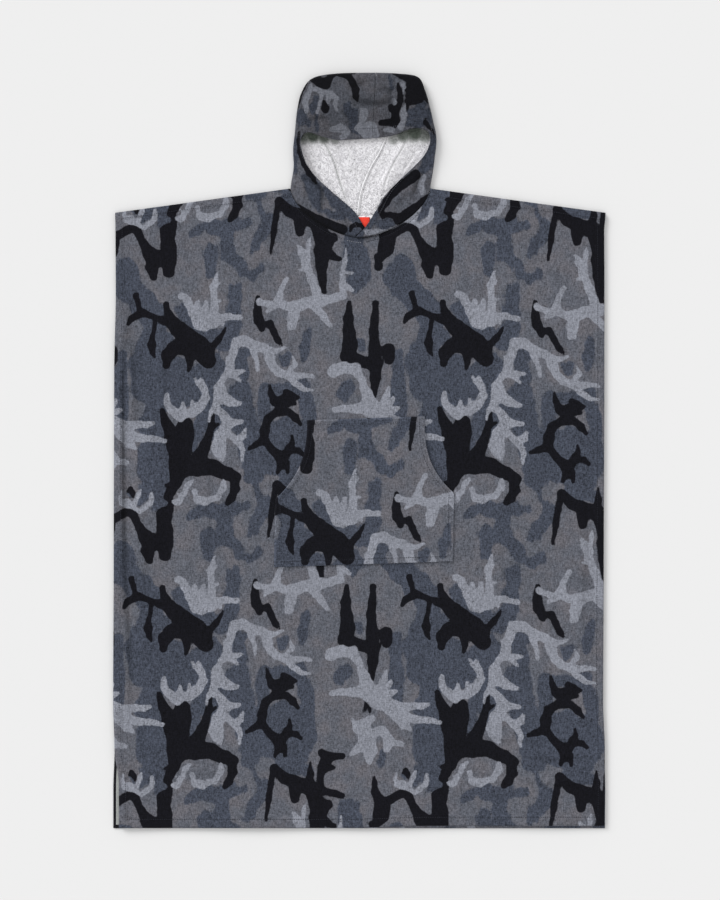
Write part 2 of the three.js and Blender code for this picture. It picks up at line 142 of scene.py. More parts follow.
# How far apart the other rows and columns are, and the front's columns to the left of LEFT_END
FRONT_STEP = 3.7
FRONT_LEFT_STEP = 2.5
BACK_STEP = 4.6
LEFT_END = -300
POCKET_ROWS = 76
POCKET_COLUMNS = 92
# Rows round the hood, and columns of its back, its fold and its front
HOOD_ROWS = 161
BACK_PART = 76
FOLD_PART = 19
FRONT_PART = 84
# Columns of the back part that the seam's tape covers
SEAM_PART = 3
NECK_FOLD = (FRONT_BASE + WALL + TURNING) / 2

# y, how far the left side stands out past the half width, how far the right side does
SIDES = np.array([
    (-616, 1.4, 0.8), (-554, 1.4, 1.3), (-486, -0.6, 0.2), (-409, 1.4, -2.6), (-178, 0.5, -1.5),
    (115, -0.2, -0.5), (262, -2.9, -0.3), (357, -2.4, -0.8), (388, -1.9, 1.4),
])

# Soft folds of the front: x and y of one end, x and y of the other, height, width
FRONT_FOLDS = [
    (-384, 196, -372, 66, 2.6, 26), (-352, 92, -340, -150, 2.2, 34), (-318, 228, -312, -34, 1.4, 30),
    (-356, -160, -350, -404, 2.4, 38), (-300, -210, -292, -330, 1.2, 34), (368, 250, 356, -30, 1.9, 36),
    (356, -176, 366, -452, 1.8, 34), (300, 120, 292, -60, 1.1, 38), (-132, 402, -186, 300, 1.7, 34),
    (138, 402, 186, 292, 1.7, 34), (-40, 318, -52, 200, 1.2, 32), (62, 316, 84, 190, 1.2, 34),
    (-262, -506, -60, -524, 1.3, 30), (112, -552, 330, -540, 1.2, 28),
]
# Creases: depth, width, height of the ridge on the left of the way it runs, and the way's points
FRONT_CREASES = [
    (2.0, 4.6, 1.2, (-371, -436), (-374, -330), (-380, -232), (-383, -120), (-385, 30), (-385, 100),
     (-380, 190), (-376, 258)),
    (1.0, 4.0, 0.6, (-362, 40), (-366, 100), (-373, 190)),
    (0.8, 4.0, 0.4, (-314, -20), (-317, 110), (-318, 226)),
    (0.8, 3.4, 0.4, (-335, -16), (-334, 64)),
    (0.7, 4.2, 0.5, (-176, 28), (-172, 90), (-178, 160)),
    (0.6, 4.4, 0.5, (-352, -270), (-346, -180), (-350, -96)),
    (0.5, 4.0, 0.3, (-240, -180), (-246, -90), (-240, 0)),
    (0.6, 5.0, 0.5, (366, -300), (372, -160), (368, -40)),
    (0.5, 4.4, 0.4, (330, 60), (336, 170), (330, 250)),
    (0.5, 4.2, 0.3, (232, -330), (238, -230), (230, -140)),
    (0.6, 3.6, 0.5, (180, -466), (260, -474), (342, -470)),
    (0.7, 3.4, 0.6, (250, -498), (318, -504), (388, -498)),
    (0.5, 3.6, 0.5, (92, -520), (170, -530), (236, -526)),
    (0.7, 3.2, 0.6, (268, -540), (330, -546), (390, -540)),
    (0.4, 3.6, 0.4, (-330, -520), (-262, -528), (-196, -524)),
    (0.5, 3.4, 0.4, (-140, -560), (-70, -566), (6, -562)),
    (0.4, 3.4, 0.4, (20, -470), (72, -476), (126, -470)),
    (0.6, 3.4, 0.4, (-300, 384), (-286, 350), (-280, 310)),
    (0.7, 3.6, 0.5, (-124, 406), (-150, 372), (-166, 330)),
    (0.6, 3.6, 0.5, (124, 408), (148, 376), (160, 336)),
    (0.5, 3.6, 0.4, (300, 380), (290, 344), (288, 300)),
]
# Creases of the hood's own front, over the shoulders and the crown
HOOD_FRONT_CREASES = [
    (1.9, 3.4, 0.9, (-65, 386), (-61, 410), (-60, 424), (-73, 436), (-88, 446)),
    (1.2, 2.4, 0.6, (-18, 361), (-24, 381), (-33, 396)),
    (0.9, 3.4, 0.6, (-92, 400), (-88, 424), (-94, 452)),
    (1.9, 4.0, 1.0, (84, 410), (90, 425), (99, 445), (104, 458)),
    (1.0, 3.0, 0.6, (58, 398), (72, 412), (84, 424)),
    (0.9, 3.0, 0.5, (106, 412), (110, 432), (112, 448)),
    (1.2, 6.0, 0.7, (62, 570), (36, 564), (4, 566), (-18, 572)),
    (1.0, 5.0, 0.6, (10, 600), (-4, 596), (-14, 590)),
    (0.9, 4.0, 0.6, (30, 586), (42, 590), (56, 584)),
    (0.9, 3.0, 0.5, (-86, 536), (-66, 542), (-48, 540)),
    (0.8, 3.4, 0.5, (52, 596), (50, 578), (54, 562)),
    (0.7, 3.0, 0.4, (-30, 556), (-18, 540), (-16, 522)),
]
# Creases of the towelling inside the hood
HOOD_INSIDE_CREASES = [
    (1.5, 1.3, 1.4, (-17, 398), (-27, 424), (-35, 448), (-41, 470), (-53, 496), (-61, 512), (-64, 530)),
    (0.9, 1.4, 0.8, (38, 420), (44, 444), (56, 470), (74, 499), (78, 516)),
    (0.5, 1.2, 0.4, (52, 428), (40, 420), (30, 408)),
    (0.5, 1.2, 0.4, (44, 410), (34, 402), (24, 392)),
    (0.5, 1.4, 0.4, (-8, 462), (-2, 440), (-4, 420)),
    (0.6, 1.6, 0.5, (-84, 476), (-72, 452), (-54, 432)),
    (0.5, 1.6, 0.4, (-20, 500), (-14, 478), (-18, 458)),
    (0.5, 1.6, 0.4, (92, 490), (84, 474), (70, 456)),
]
# Where the hem of the crown keeps the light off the towelling: x, y, reach, strength
HOOD_CORNERS = [
    (-92, 516, 17, 0.9), (-76, 515, 15, 1.0), (-58, 511, 12, 0.9), (-40, 507, 8, 0.6),
    (56, 508, 10, 0.6), (72, 516, 15, 0.9), (90, 520, 18, 1.0), (106, 516, 15, 0.8),
]

# The hood's halves, nearly as the solids have them: x and y of the fold, x and y of the face opening's
# hem, the tops of both, and how far the cloth swells between them
HOOD_LEFT = np.array([
    (-112.3, 427.5, 20.7, 349, 6.3, 6.3, 0), (-110.6, 441, 9.3, 363.2, 6.8, 6.4, 0.6),
    (-108, 455, -8, 389.5, 7.6, 7.2, 1.8), (-107, 468, -33, 412, 8.6, 8.6, 2.8),
    (-107.8, 482, -62, 435.5, 9.8, 10.4, 2.4), (-107.6, 497, -84, 462.5, 11, 12.2, 1.2),
    (-105.6, 514, -94, 491, 12, 13.2, 0.4), (-103.8, 533, -94.6, 508, 12.6, 13.6, 0.4),
    (-101.2, 556, -84, 518, 13, 14, 1.6), (-94.2, 584, -59, 510.5, 13.2, 14.4, 2.8),
    (-77, 606.5, -35, 506, 13.2, 14.8, 3.4), (-38, 614.6, -8, 507.5, 13.2, 15, 3.8),
    (27, 616, 21, 509, 13.2, 15, 3.8),
])
HOOD_RIGHT = np.array([
    (115.4, 427.5, -6.4, 347, 6.3, 6.3, 0), (117.6, 441, 9.3, 363.2, 6.8, 6.6, 0.6),
    (119.8, 454, 24, 386, 7.6, 8.4, 1.6), (121.8, 468, 40.5, 414, 8.8, 10, 2.4),
    (123.6, 482, 68, 443, 10, 11.4, 2.4), (125.4, 498, 100, 473, 11.2, 12.8, 1.2),
    (125.4, 514, 114, 498, 12, 13.6, 0.4), (121.2, 534, 113, 517, 12.6, 14, 0.4),
    (114.6, 562, 98, 524.5, 13, 14.4, 1.4), (107, 588, 80, 522.5, 13.2, 14.8, 2.6),
    (95.5, 609, 60, 515, 13.2, 15, 3.4), (63, 614.6, 40, 511, 13.2, 15, 3.8),
    (27, 616, 21, 509, 13.2, 15, 3.8),
])
# The seam inside the hood, which bends a little more than the solids' seam does
HOOD_SEAM = np.array([(-2, 383.5), (3, 420), (17, 457), (37, 493), (48, 528), (42, 560)])
HOOD_CREASES = [(-60, 530, -20, 404, 1.8, 17), (82, 516, 44, 432, 1.6, 17)]
# Where the right half's lap over the left one ends, across the frame and in rows of the table above
LAP_ACROSS = (25.7, 52.0)
LAP_ROWS = (1.4, 4.0)
# Up to which row the hood is bent to the necklines it is sewn to
NECK_ROWS = 3
# Round the hood from the crest of its fold, where its own chart ends and where the repeat has ended
OWN_PRINT = (-6.0, 6.0)
REPEAT_PRINT = (-34.0, -14.0)
# Inside the hood, the tape along its seam: height, and between which distances from the seam it falls
TAPE_RIDGE = 1.5
TAPE_ENDS = (0.9, 2.2)
# Height or strength, distance and width of the groove beside that tape, of the dusk in it, of the tape
# along the neckline and of the seam over the crown
TAPE_GROOVE = (0.4, 2.8, 0.9)
TAPE_DUSK = (0.3, 2.9, 1.0)
NECK_TAPE = (0.7, 5.0, 2.2)
CROWN_SEAM = (0.5, 0.0, 2.6)
# How far to both sides of its middle the neck's tape reaches
NECK_TAPE_REACH = 90
# How far the middle of the crown's hem sinks, and the rows between which it comes to that
CROWN_SINK = 7.6
CROWN_SINK_ROWS = (8.8, 10.6)
# How much darker the creases are painted, as painted shade, how much darker the hood and the crown are, and
# where up the frame the crown's darker part starts
CREASE_PAINTED_SHADE = 0.5
HOOD_DIM = 0.17
CROWN_DIM = 0.4
CROWN_SHADE = (490.0, 520.0)
# Painted shade in the seam round the neck: how much darker it is, and where that ends: on the front from its
# edge, and on the hood in rows
SEAM_PAINTED_SHADE = 0.6
SEAM_SHADE_ENDS = (0.4, 1.8)
SEAM_SHADE_ROWS = (0.02, 0.14)
# A painted highlight on the rolled edge of the pocket: how much paler it is, and where from its edge that
# ends
POCKET_EDGE_PAINTED_HIGHLIGHT = 0.3
POCKET_HIGHLIGHT_ENDS = (0.8, 2.6)
# How much of the light the vent keeps off its towelling
VENT_DUSK = 0.68

# One repeat of the print, across and down
REPEAT = (452.0, 462.0)
# Where its corner lies on the front, and the two steps of the lattice it is printed on
REPEAT_CORNER = (-398.9, -47.8)
ACROSS = (452.3, -3.3)
DOWN = (-4.1, 462.0)
# Where the repeat lies on the back, the pocket and each side of the hood's back, beside the front's
BACK_SHIFT = (61.0, 37.0)
POCKET_SHIFT = (230.2, 142.0)
HOOD_SHIFT = (90.0, 60.0)
# Near its right side the cloth lies out of square, so that its print slips down, and lower on it outwards
SLIP_ACROSS = (205.0, 350.0)
SLIP_LOWER = (80.0, 260.0)
SLIP_DOWN = 18.5
SLIP_OUT = 14.0
# For each layer: its wobble's size and random seed, and how softly its strokes join
LAYERS = {"slate": (2.0, 8, 4.0), "black": (0.75, 3, 3.0), "pale": (1.3, 5, 2.2)}
# The wobble of an edge: waves tried, the most in a repeat, the square of the fewest, and how they weaken
WOBBLE = {"tries": 26, "most": 32, "least_squared": 40, "fall": 0.25}
# How far round a stroke the distance from it is worked out, the most that is kept, and one beyond any
STROKE_REACH = 45
STROKE_FAR = 40
STROKE_NONE = 1e3
# The sheets that the repeat's chart was drawn on: x and y of the corner on the front, size of a unit
CHART_SHEETS = {
    "A": (-415.2, -47.8, 0.3696), "C": (-23.3, -47.8, 0.3696),
    "D": (-415.2, 409.4, 0.3124), "E": (-23.3, 409.4, 0.3124),
}
# Strokes of each ink: points as x, y down the sheet and half width, in the sheet's units
BLACK = {
    "A": [
        ((20, 180, 20), (56, 164, 17), (84, 148, 17), (106, 138, 20), (126, 148, 19), (140, 178, 18),
         (153, 208, 20), (171, 242, 27), (196, 266, 42)),
        ((262, 150, 32), (266, 220, 34), (268, 290, 33), (270, 332, 27)),
        ((200, 275, 34), (262, 265, 40)),
        ((192, 315, 32), (198, 352, 20)),
        ((120, 434, 14), (132, 468, 12), (142, 505, 13)),
        ((90, 562, 8), (105, 535, 15), (150, 512, 17), (195, 532, 12), (240, 545, 16), (290, 560, 24)),
        ((257, 474, 15), (264, 510, 17), (292, 548, 24)),
        ((205, 540, 10), (200, 610, 11), (196, 655, 19), (196, 690, 13), (206, 712, 6)),
        ((285, 560, 28), (345, 618, 42), (395, 658, 54), (428, 690, 50), (446, 722, 36)),
        ((345, 672, 28), (300, 664, 30), (264, 700, 28), (260, 738, 18)),
        ((362, 700, 24), (363, 745, 13), (360, 766, 9)),
        ((462, 668, 14), (492, 632, 13), (512, 600, 8), (525, 578, 4)),
        ((244, 945, 13), (258, 1000, 22), (290, 1055, 38), (310, 1100, 48)),
        ((345, 1005, 36), (336, 1060, 46), (322, 1120, 50), (320, 1190, 50)),
        ((466, 948, 10), (462, 1000, 15), (448, 1050, 18), (430, 1100, 26), (400, 1165, 38)),
        ((495, 1000, 6), (464, 1022, 12)),
        ((318, 1180, 50), (400, 1192, 42), (470, 1196, 36), (530, 1222, 28), (566, 1244, 24)),
        ((562, 1240, 24), (566, 1290, 20), (550, 1330, 17), (532, 1356, 11)),
        ((312, 1220, 42), (304, 1262, 26), (282, 1300, 22), (268, 1325, 18)),
        ((300, 1272, 14), (262, 1272, 8)),
        ((268, 1325, 18), (282, 1352, 12), (275, 1385, 16), (264, 1402, 30)),
        ((716, 828, 6), (722, 868, 15), (742, 905, 22), (780, 905, 30), (812, 885, 24)),
        ((790, 862, 14), (838, 884, 10)),
        ((800, 905, 22), (826, 912, 9)),
        ((762, 915, 18), (752, 948, 17)),
        ((750, 952, 17), (796, 950, 15), (832, 978, 15), (854, 1006, 9)),
        ((738, 956, 16), (706, 985, 18), (692, 1035, 20), (690, 1078, 21)),
        ((682, 1078, 17), (652, 1096, 12), (626, 1110, 9)),
        ((700, 1082, 17), (728, 1118, 16), (766, 1148, 24), (776, 1180, 22)),
        ((814, 1052, 6), (818, 1088, 10), (806, 1112, 20), (772, 1160, 18)),
        ((812, 1118, 14), (840, 1122, 12), (866, 1140, 9)),
        ((760, 1178, 15), (750, 1218, 9)),
        ((792, 1176, 14), (797, 1216, 9)),
        ((905, 1246, 4), (908, 1300, 16), (900, 1345, 28)),
        ((1067, 466, 10), (1065, 540, 22), (1068, 600, 28), (1070, 660, 32), (1062, 704, 34)),
        ((1066, 708, 30), (1125, 728, 24), (1180, 742, 30)),
        ((665, 446, 11), (662, 505, 18), (668, 545, 22), (680, 584, 15)),
        ((690, 562, 12), (718, 560, 18), (735, 590, 16), (754, 636, 14), (772, 658, 5)),
        ((958, 1204, 19), (1000, 1220, 17), (1048, 1216, 15)),
        ((975, 1230, 28), (968, 1262, 26), (1004, 1270, 12)),
        ((958, 1270, 22), (952, 1322, 13), (966, 1366, 9)),
        ((115, 40, 12), (121, 60, 12), (122, 76, 7)),
        ((112, 46, 12), (100, 54, 5)),
    ],
    "D": [
        ((905, 14, 18), (894, 90, 15), (882, 180, 14), (868, 278, 8)),
        ((915, 10, 24), (965, 60, 30), (1010, 80, 32), (1060, 98, 36), (1120, 130, 38)),
        ((1100, 98, 30), (1170, 128, 22), (1230, 142, 18), (1262, 152, 17)),
        ((1020, 120, 34), (1020, 172, 22)),
        ((1110, 150, 38), (1148, 215, 50), (1135, 280, 42), (1128, 350, 32), (1138, 420, 22),
         (1146, 482, 14)),
        ((1160, 205, 40), (1188, 200, 28)),
        ((1165, 268, 24), (1195, 296, 18), (1226, 308, 14)),
    ],
    "C": [
        ((124, 470, 14), (120, 540, 18), (116, 600, 24), (120, 680, 27), (125, 738, 30), (120, 800, 26),
         (118, 860, 15), (122, 906, 6)),
        ((140, 682, 18), (178, 676, 26), (184, 716, 24)),
        ((96, 968, 10), (84, 1022, 7)),
        ((96, 972, 10), (112, 1024, 7)),
    ],
    "E": [
        ((173, 54, 7), (180, 88, 15), (188, 136, 20), (204, 178, 28), (217, 214, 42), (212, 258, 42),
         (192, 296, 24)),
        ((166, 296, 14), (176, 345, 26)),
    ],
}
PALE = {
    "A": [
        ((328, 440, 16), (352, 456, 17), (376, 512, 19), (402, 560, 25), (430, 578, 20)),
        ((400, 468, 10), (398, 500, 15), (418, 530, 24)),
        ((434, 466, 9), (432, 500, 15), (418, 530, 24)),
        ((430, 568, 20), (470, 548, 30), (500, 538, 20), (540, 526, 14), (580, 530, 13)),
        ((468, 545, 26), (474, 490, 17), (468, 440, 14), (464, 395, 13), (480, 362, 9), (494, 336, 4)),
        ((470, 400, 10), (494, 378, 6)),
        ((474, 462, 10), (500, 455, 6)),
        ((500, 545, 14), (512, 568, 7)),
        ((1000, 772, 28), (1042, 752, 26), (1090, 760, 28), (1118, 802, 18), (1138, 850, 20),
         (1160, 900, 30)),
        ((1002, 938, 14), (1050, 935, 17), (1100, 930, 20), (1150, 930, 30), (1195, 938, 38)),
        ((288, 1342, 9), (316, 1346, 13), (340, 1312, 12), (360, 1275, 12), (376, 1254, 8)),
        ((330, 1326, 10), (306, 1308, 5)),
        ((382, 1300, 10), (400, 1336, 15), (440, 1346, 15), (482, 1330, 15), (506, 1292, 13),
         (512, 1260, 12)),
    ],
    "D": [
        ((806, 536, 14), (850, 546, 17), (900, 545, 20), (960, 552, 22), (1020, 552, 28),
         (1080, 538, 32), (1140, 526, 30), (1200, 514, 22), (1240, 500, 20)),
        ((850, 582, 12), (878, 566, 14), (906, 520, 20), (928, 460, 15), (958, 412, 10)),
        ((988, 570, 30), (980, 620, 30), (976, 662, 24)),
        ((1100, 560, 26), (1150, 618, 20), (1180, 662, 13)),
        ((1110, 510, 24), (1098, 460, 22), (1080, 410, 22), (1055, 350, 24), (1045, 300, 22),
         (1014, 250, 10)),
        ((1056, 300, 16), (1066, 240, 12), (1070, 196, 5)),
        ((1060, 360, 18), (1012, 360, 8)),
        ((1240, 500, 20), (1246, 440, 14), (1240, 385, 13), (1252, 320, 12), (1262, 256, 5)),
        ((1244, 380, 10), (1290, 378, 7)),
        ((1250, 450, 16), (1296, 478, 9)),
        ((640, 828, 14), (652, 858, 22), (670, 800, 22), (692, 742, 26), (742, 742, 28), (800, 768, 26),
         (860, 788, 20), (915, 780, 13), (942, 772, 8)),
        ((772, 790, 17), (795, 850, 14), (800, 888, 8)),
        ((858, 800, 20), (872, 860, 26), (912, 905, 26), (960, 920, 24), (1010, 918, 15), (1082, 922, 11)),
        ((955, 905, 18), (985, 862, 13), (976, 820, 7)),
        ((975, 935, 20), (1020, 978, 16), (1050, 992, 12), (1088, 993, 8)),
        ((655, 860, 22), (650, 900, 18), (618, 940, 16), (585, 968, 13)),
        ((650, 910, 16), (690, 905, 13), (728, 890, 9)),
        ((660, 915, 14), (705, 945, 8)),
        ((600, 980, 24), (612, 1030, 32), (645, 1050, 26), (708, 1064, 11)),
        ((590, 1010, 22), (582, 1060, 15), (596, 1105, 16), (625, 1135, 24), (662, 1168, 24),
         (712, 1160, 12)),
        ((640, 1170, 26), (606, 1230, 34), (592, 1290, 40), (608, 1335, 24), (622, 1362, 8)),
        ((645, 1215, 18), (690, 1260, 18), (724, 1240, 14), (736, 1192, 8)),
        ((700, 1268, 17), (722, 1310, 14), (715, 1358, 8)),
        ((546, 1156, 6), (560, 1110, 12), (578, 1070, 9)),
        ((318, 1022, 13), (332, 1072, 18), (362, 1112, 22), (400, 1132, 24), (450, 1112, 24),
         (500, 1080, 26), (528, 1030, 20), (518, 975, 17), (508, 930, 8)),
        ((470, 928, 8), (488, 960, 13), (515, 990, 16)),
        ((404, 1100, 20), (402, 1062, 12)),
        ((455, 1095, 14), (468, 1050, 8)),
    ],
    "C": [
        ((95, 910, 26), (120, 950, 40), (160, 980, 40), (210, 1000, 30), (260, 1000, 20), (330, 995, 14),
         (366, 986, 9)),
        ((146, 935, 20), (168, 880, 15), (182, 838, 10)),
        ((175, 925, 18), (204, 884, 9)),
        ((185, 945, 16), (222, 932, 9)),
        ((200, 1015, 26), (250, 1030, 22), (300, 1054, 17), (360, 1060, 15), (416, 1064, 12)),
        ((220, 1035, 24), (262, 1082, 17), (290, 1108, 8)),
        ((112, 1052, 22), (70, 1096, 30), (96, 1130, 38), (108, 1190, 34), (104, 1240, 14)),
        ((60, 1096, 18), (32, 1052, 5)),
        ((80, 1160, 26), (24, 1206, 8)),
        ((130, 1120, 20), (160, 1100, 20), (196, 1150, 24), (186, 1184, 18)),
        ((190, 1155, 20), (256, 1166, 10)),
        ((225, 1290, 6), (220, 1318, 9), (231, 1342, 16), (255, 1342, 23), (271, 1354, 16),
         (285, 1365, 12), (308, 1372, 10), (336, 1359, 11), (355, 1343, 13), (363, 1321, 12),
         (364, 1299, 10)),
        ((312, 1286, 5), (301, 1312, 9), (287, 1340, 11), (275, 1354, 12)),
    ],
}
SLATE = {
    "A": [
        ((230, 720, 40), (330, 760, 44)),
        ((240, 600, 24), (290, 640, 20)),
        ((480, 705, 20), (505, 745, 24)),
        ((245, 1010, 30), (250, 1270, 30)),
        ((700, 850, 30), (702, 990, 34)),
        ((95, 330, 46), (90, 400, 50), (150, 470, 56), (215, 540, 56), (200, 640, 60), (150, 740, 56),
         (190, 830, 80), (290, 850, 90), (400, 850, 80), (470, 760, 56)),
        ((60, 700, 26), (60, 1000, 36)),
        ((330, 500, 40), (420, 610, 46), (520, 640, 36), (560, 560, 36), (566, 440, 32), (575, 400, 26)),
        ((230, 860, 60), (210, 960, 50), (170, 1010, 40), (230, 1120, 36), (220, 1230, 34),
         (240, 1340, 30)),
        ((400, 1000, 24), (392, 1060, 24), (385, 1120, 20)),
        ((420, 900, 60), (480, 1040, 40), (590, 860, 50), (600, 960, 50), (640, 1120, 60),
         (640, 1220, 50)),
        ((600, 780, 34), (585, 700, 30), (620, 690, 20)),
        ((160, 1290, 26), (165, 1330, 22)),
        ((780, 1050, 80), (830, 1180, 80), (720, 1150, 70), (650, 1150, 60), (860, 1060, 60),
         (900, 1150, 50)),
        ((700, 860, 26), (860, 840, 40), (880, 930, 34), (900, 1010, 30)),
        ((820, 1260, 60), (880, 1280, 30)),
        ((780, 730, 22), (790, 710, 24)),
        ((1060, 840, 36), (1035, 880, 28)),
        ((390, 1395, 22), (440, 1370, 24), (520, 1380, 26), (560, 1350, 20)),
        ((640, 1250, 10), (700, 1380, 22), (650, 1460, 26)),
    ],
    "D": [
        ((556, 268, 36), (560, 320, 38), (556, 372, 38)),
        ((455, 178, 20), (525, 142, 24), (600, 170, 30), (650, 148, 26), (745, 128, 22)),
        ((645, 180, 38), (630, 240, 38), (640, 300, 34), (700, 330, 26), (725, 385, 24), (768, 398, 20),
         (812, 368, 20), (818, 335, 16)),
        ((862, 84, 22), (812, 190, 24), (762, 268, 16)),
        ((684, 470, 34), (684, 540, 38), (668, 610, 40)),
        ((1062, 692, 24), (1050, 770, 30), (1040, 830, 22)),
        ((930, 820, 26), (965, 805, 14)),
        ((1000, 20, 40), (1075, 10, 30)),
        ((215, 75, 20), (190, 100, 26), (172, 122, 16)),
        ((292, 75, 34), (292, 120, 34)),
    ],
    "E": [
        ((45, 225, 60), (60, 300, 70), (75, 400, 60), (65, 440, 40)),
        ((290, 330, 36), (250, 400, 56), (300, 460, 60)),
        ((75, 740, 20), (85, 790, 12)),
    ],
    "C": [
        ((340, 1100, 40), (335, 1200, 34), (370, 1250, 44), (400, 1330, 36), (405, 1370, 30)),
        ((165, 1215, 20), (160, 1260, 14)),
        ((262, 1310, 14), (268, 1320, 10)),
    ],
}
# The hood's own part of the print, as x, y up the frame, half width
HOOD_BLACK_LEFT = [
    ((-75, 605, 5), (-64, 599, 7.5), (-55, 597, 8.8), (-48, 605, 5), (-42, 610, 4)),
    ((-75, 606, 4), (-66, 609, 3)),
    ((-50, 614, 4), (-29, 613, 4.5), (-17.5, 609, 5.3), (-11.3, 599, 5.8), (-7, 587, 6.4),
     (-5, 576, 4.9), (-3, 568, 2)),
    ((-30, 616, 4), (-8, 616, 3)),
    ((-84, 600, 1.5), (-91, 590, 3.2), (-95, 580, 3.6), (-98, 568, 3), (-101, 557, 2)),
    ((-57.5, 568, 2.8), (-54.7, 557, 6), (-54, 552, 4)),
    ((-98, 518, 2), (-98.5, 505, 2.4), (-97, 486, 3.4), (-90, 466, 4.6), (-82, 452, 5),
     (-74, 441, 3.4), (-69, 434, 1.6)),
    ((-100, 398, 4), (-84, 385, 7.4), (-66, 375, 9.4), (-46, 366, 10), (-27, 361, 7.4)),
    ((-14.6, 358, 2.4), (-13, 364, 3), (-5, 368, 3.3), (3, 367, 3.4), (7, 361, 2.8), (4, 355, 2.4),
     (-4, 349, 1.8)),
]
HOOD_BLACK_RIGHT = [
    ((54, 615, 2), (68, 609, 4), (81, 606, 6.6), (91, 604, 6.4)),
    ((70, 616, 4), (96, 608, 7)),
    ((85, 599, 8), (86, 589, 11), (94, 582, 12), (83, 576, 8)),
    ((99, 595, 8), (107, 580, 8), (112, 571, 5)),
    ((77, 567, 3.5), (76.5, 557, 2.2), (76.4, 551, 1)),
    ((80, 565, 4.6), (89, 566, 4.4), (100, 570, 4)),
    ((62.6, 597, 2.2), (65, 587, 4.4), (67.5, 578, 4.9), (66.6, 569, 4.9), (63, 560, 4.4),
     (58, 550, 6.6), (58.7, 538, 8), (57.8, 530, 4.6)),
    ((62, 560, 3.5), (51.6, 558.6, 4.6), (50.7, 555, 4.2)),
    ((57.8, 534.7, 7), (45.4, 534.7, 5.4), (35.7, 533.8, 5.6)),
    ((107.3, 539, 2), (107.3, 533, 3.8), (112, 526, 3.1), (118, 520, 2.2), (122, 514, 1)),
    ((92, 449, 8), (86, 446, 7.6), (70.4, 434.6, 7.3), (56, 420, 6.8), (44.3, 405.4, 6.2),
     (36, 390.8, 5.2), (38, 380, 3.6)),
    ((114, 419, 1.2), (104.7, 408.5, 4.4), (91, 394, 7.6), (76.6, 382.5, 10), (64, 377, 9.4)),
    ((38, 383, 4), (50, 384, 4.4), (60, 382, 5)),
]
HOOD_PALE = [
    ((-79.5, 597, 2), (-79, 587, 4.4), (-86, 576, 4.4), (-88, 564, 4), (-87, 552, 4)),
    ((-72, 587, 3.5), (-58, 582, 3.5), (-46, 580, 5.3), (-37, 574, 4), (-37, 564, 3), (-36, 555, 2)),
    ((-49.4, 574, 5), (-49.4, 567, 4)),
    ((-62.7, 577, 2.5), (-65.3, 564, 2.7), (-67, 550, 2.8)),
    ((-43, 521, 5.3), (-28, 525, 5.3), (-20, 520, 5.3), (-26, 512, 6)),
    ((7, 551, 6.4), (6.6, 540, 6.8), (2, 527, 8.6), (10, 520, 10), (20, 528, 7.6), (22, 516, 9)),
    ((72, 598.4, 4), (72, 592, 3), (72.2, 585, 1.1), (72.2, 578, 0.7)),
    ((73.7, 563, 0.7), (71, 555, 3.5), (70.6, 546, 4.7), (71, 536, 4.2), (68.4, 526, 5)),
    ((43, 522, 5), (54, 521, 4)),
    ((55, 570, 4), (58, 566, 4)),
    ((11, 356.5, 4.6), (26.6, 354.4, 5), (43.3, 356.5, 4.2), (60, 362.7, 2.4), (73.5, 369, 0.8)),
    ((104, 446, 4), (100, 432, 5), (104, 420, 4)),
]
HOOD_SLATE = [
    ((-70.6, 574, 5.3), (-75, 562, 8), (-77, 552, 5.3)),
    ((-97, 552, 5.3), (-97, 546, 5.3), (-92, 536, 7), (-84, 530, 6.2)),
    ((-17.5, 562, 5.3), (-13, 551, 8.8), (-11, 539, 6.2), (-13, 529, 4.4), (-11, 520, 3.5),
     (-4, 514, 3)),
    ((-68, 544, 2), (-68, 520, 2.5)),
    ((48.5, 608, 4), (51, 598, 3), (53, 588, 3)),
    ((101, 562, 8), (86, 548, 8.8), (98.5, 546, 12.4), (110, 546, 9), (94, 535, 10), (82, 535, 8),
     (116, 534, 5)),
    ((-106, 506, 8), (-108, 480, 9), (-104, 458, 6)),
    ((-86, 446, 9), (-78, 430, 12), (-72, 412, 10), (-66, 398, 7)),
    ((-56, 424, 6), (-40, 408, 8), (-24, 392, 9), (-10, 378, 9), (2, 370, 8)),
    ((-57, 392, 5), (-42, 384, 6), (-28, 378, 5)),
    ((-6, 356, 12), (-20, 352, 8)),
    ((119, 510, 9), (116, 486, 8), (104, 462, 7), (120, 470, 7)),
    ((45, 371, 10), (38, 370, 8), (52, 368, 8)),
    ((32, 386, 4), (22, 374, 6), (16, 366, 6)),
]


def ease(value, low, high):
    """Nothing up to the low value, one from the high value on, and a soft rise between."""
    share = np.clip((np.asarray(value, float) - low) / (high - low), 0, 1)
    return share * share * (3 - 2 * share)


def bell(value, height, middle, width):
    """A height at the middle, and a soft fall to nothing on both sides."""
    return height * np.exp(-(((value - middle) / width) ** 2))


def run_along(line):
    """How far along a line of points each of them lies."""
    return np.concatenate([[0], np.linalg.norm(np.diff(line, axis=0), axis=1).cumsum()])


def table_value(rows, at, column):
    """A column of a table at a place between its rows, eased from row to row."""
    place = np.clip(np.searchsorted(rows[:, 0], at, side="right") - 1, 0, len(rows) - 2)
    low, high = rows[place, 0], rows[place + 1, 0]
    share = ease((at - low) / (high - low), 0, 1)
    return rows[place, column] * (1 - share) + rows[place + 1, column] * share


def fold_height(folds, x, y):
    """Soft swellings, each along a straight line."""
    total = np.zeros(x.shape)
    for x1, y1, x2, y2, height, width in folds:
        along = np.array([x2 - x1, y2 - y1], float)
        share = np.clip(((x - x1) * along[0] + (y - y1) * along[1]) / (along @ along), 0, 1)
        distance = np.hypot(x - x1 - share * along[0], y - y1 - share * along[1])
        total += height * np.clip(1 - (distance / width) ** 2, 0, 1) ** 2
    return total


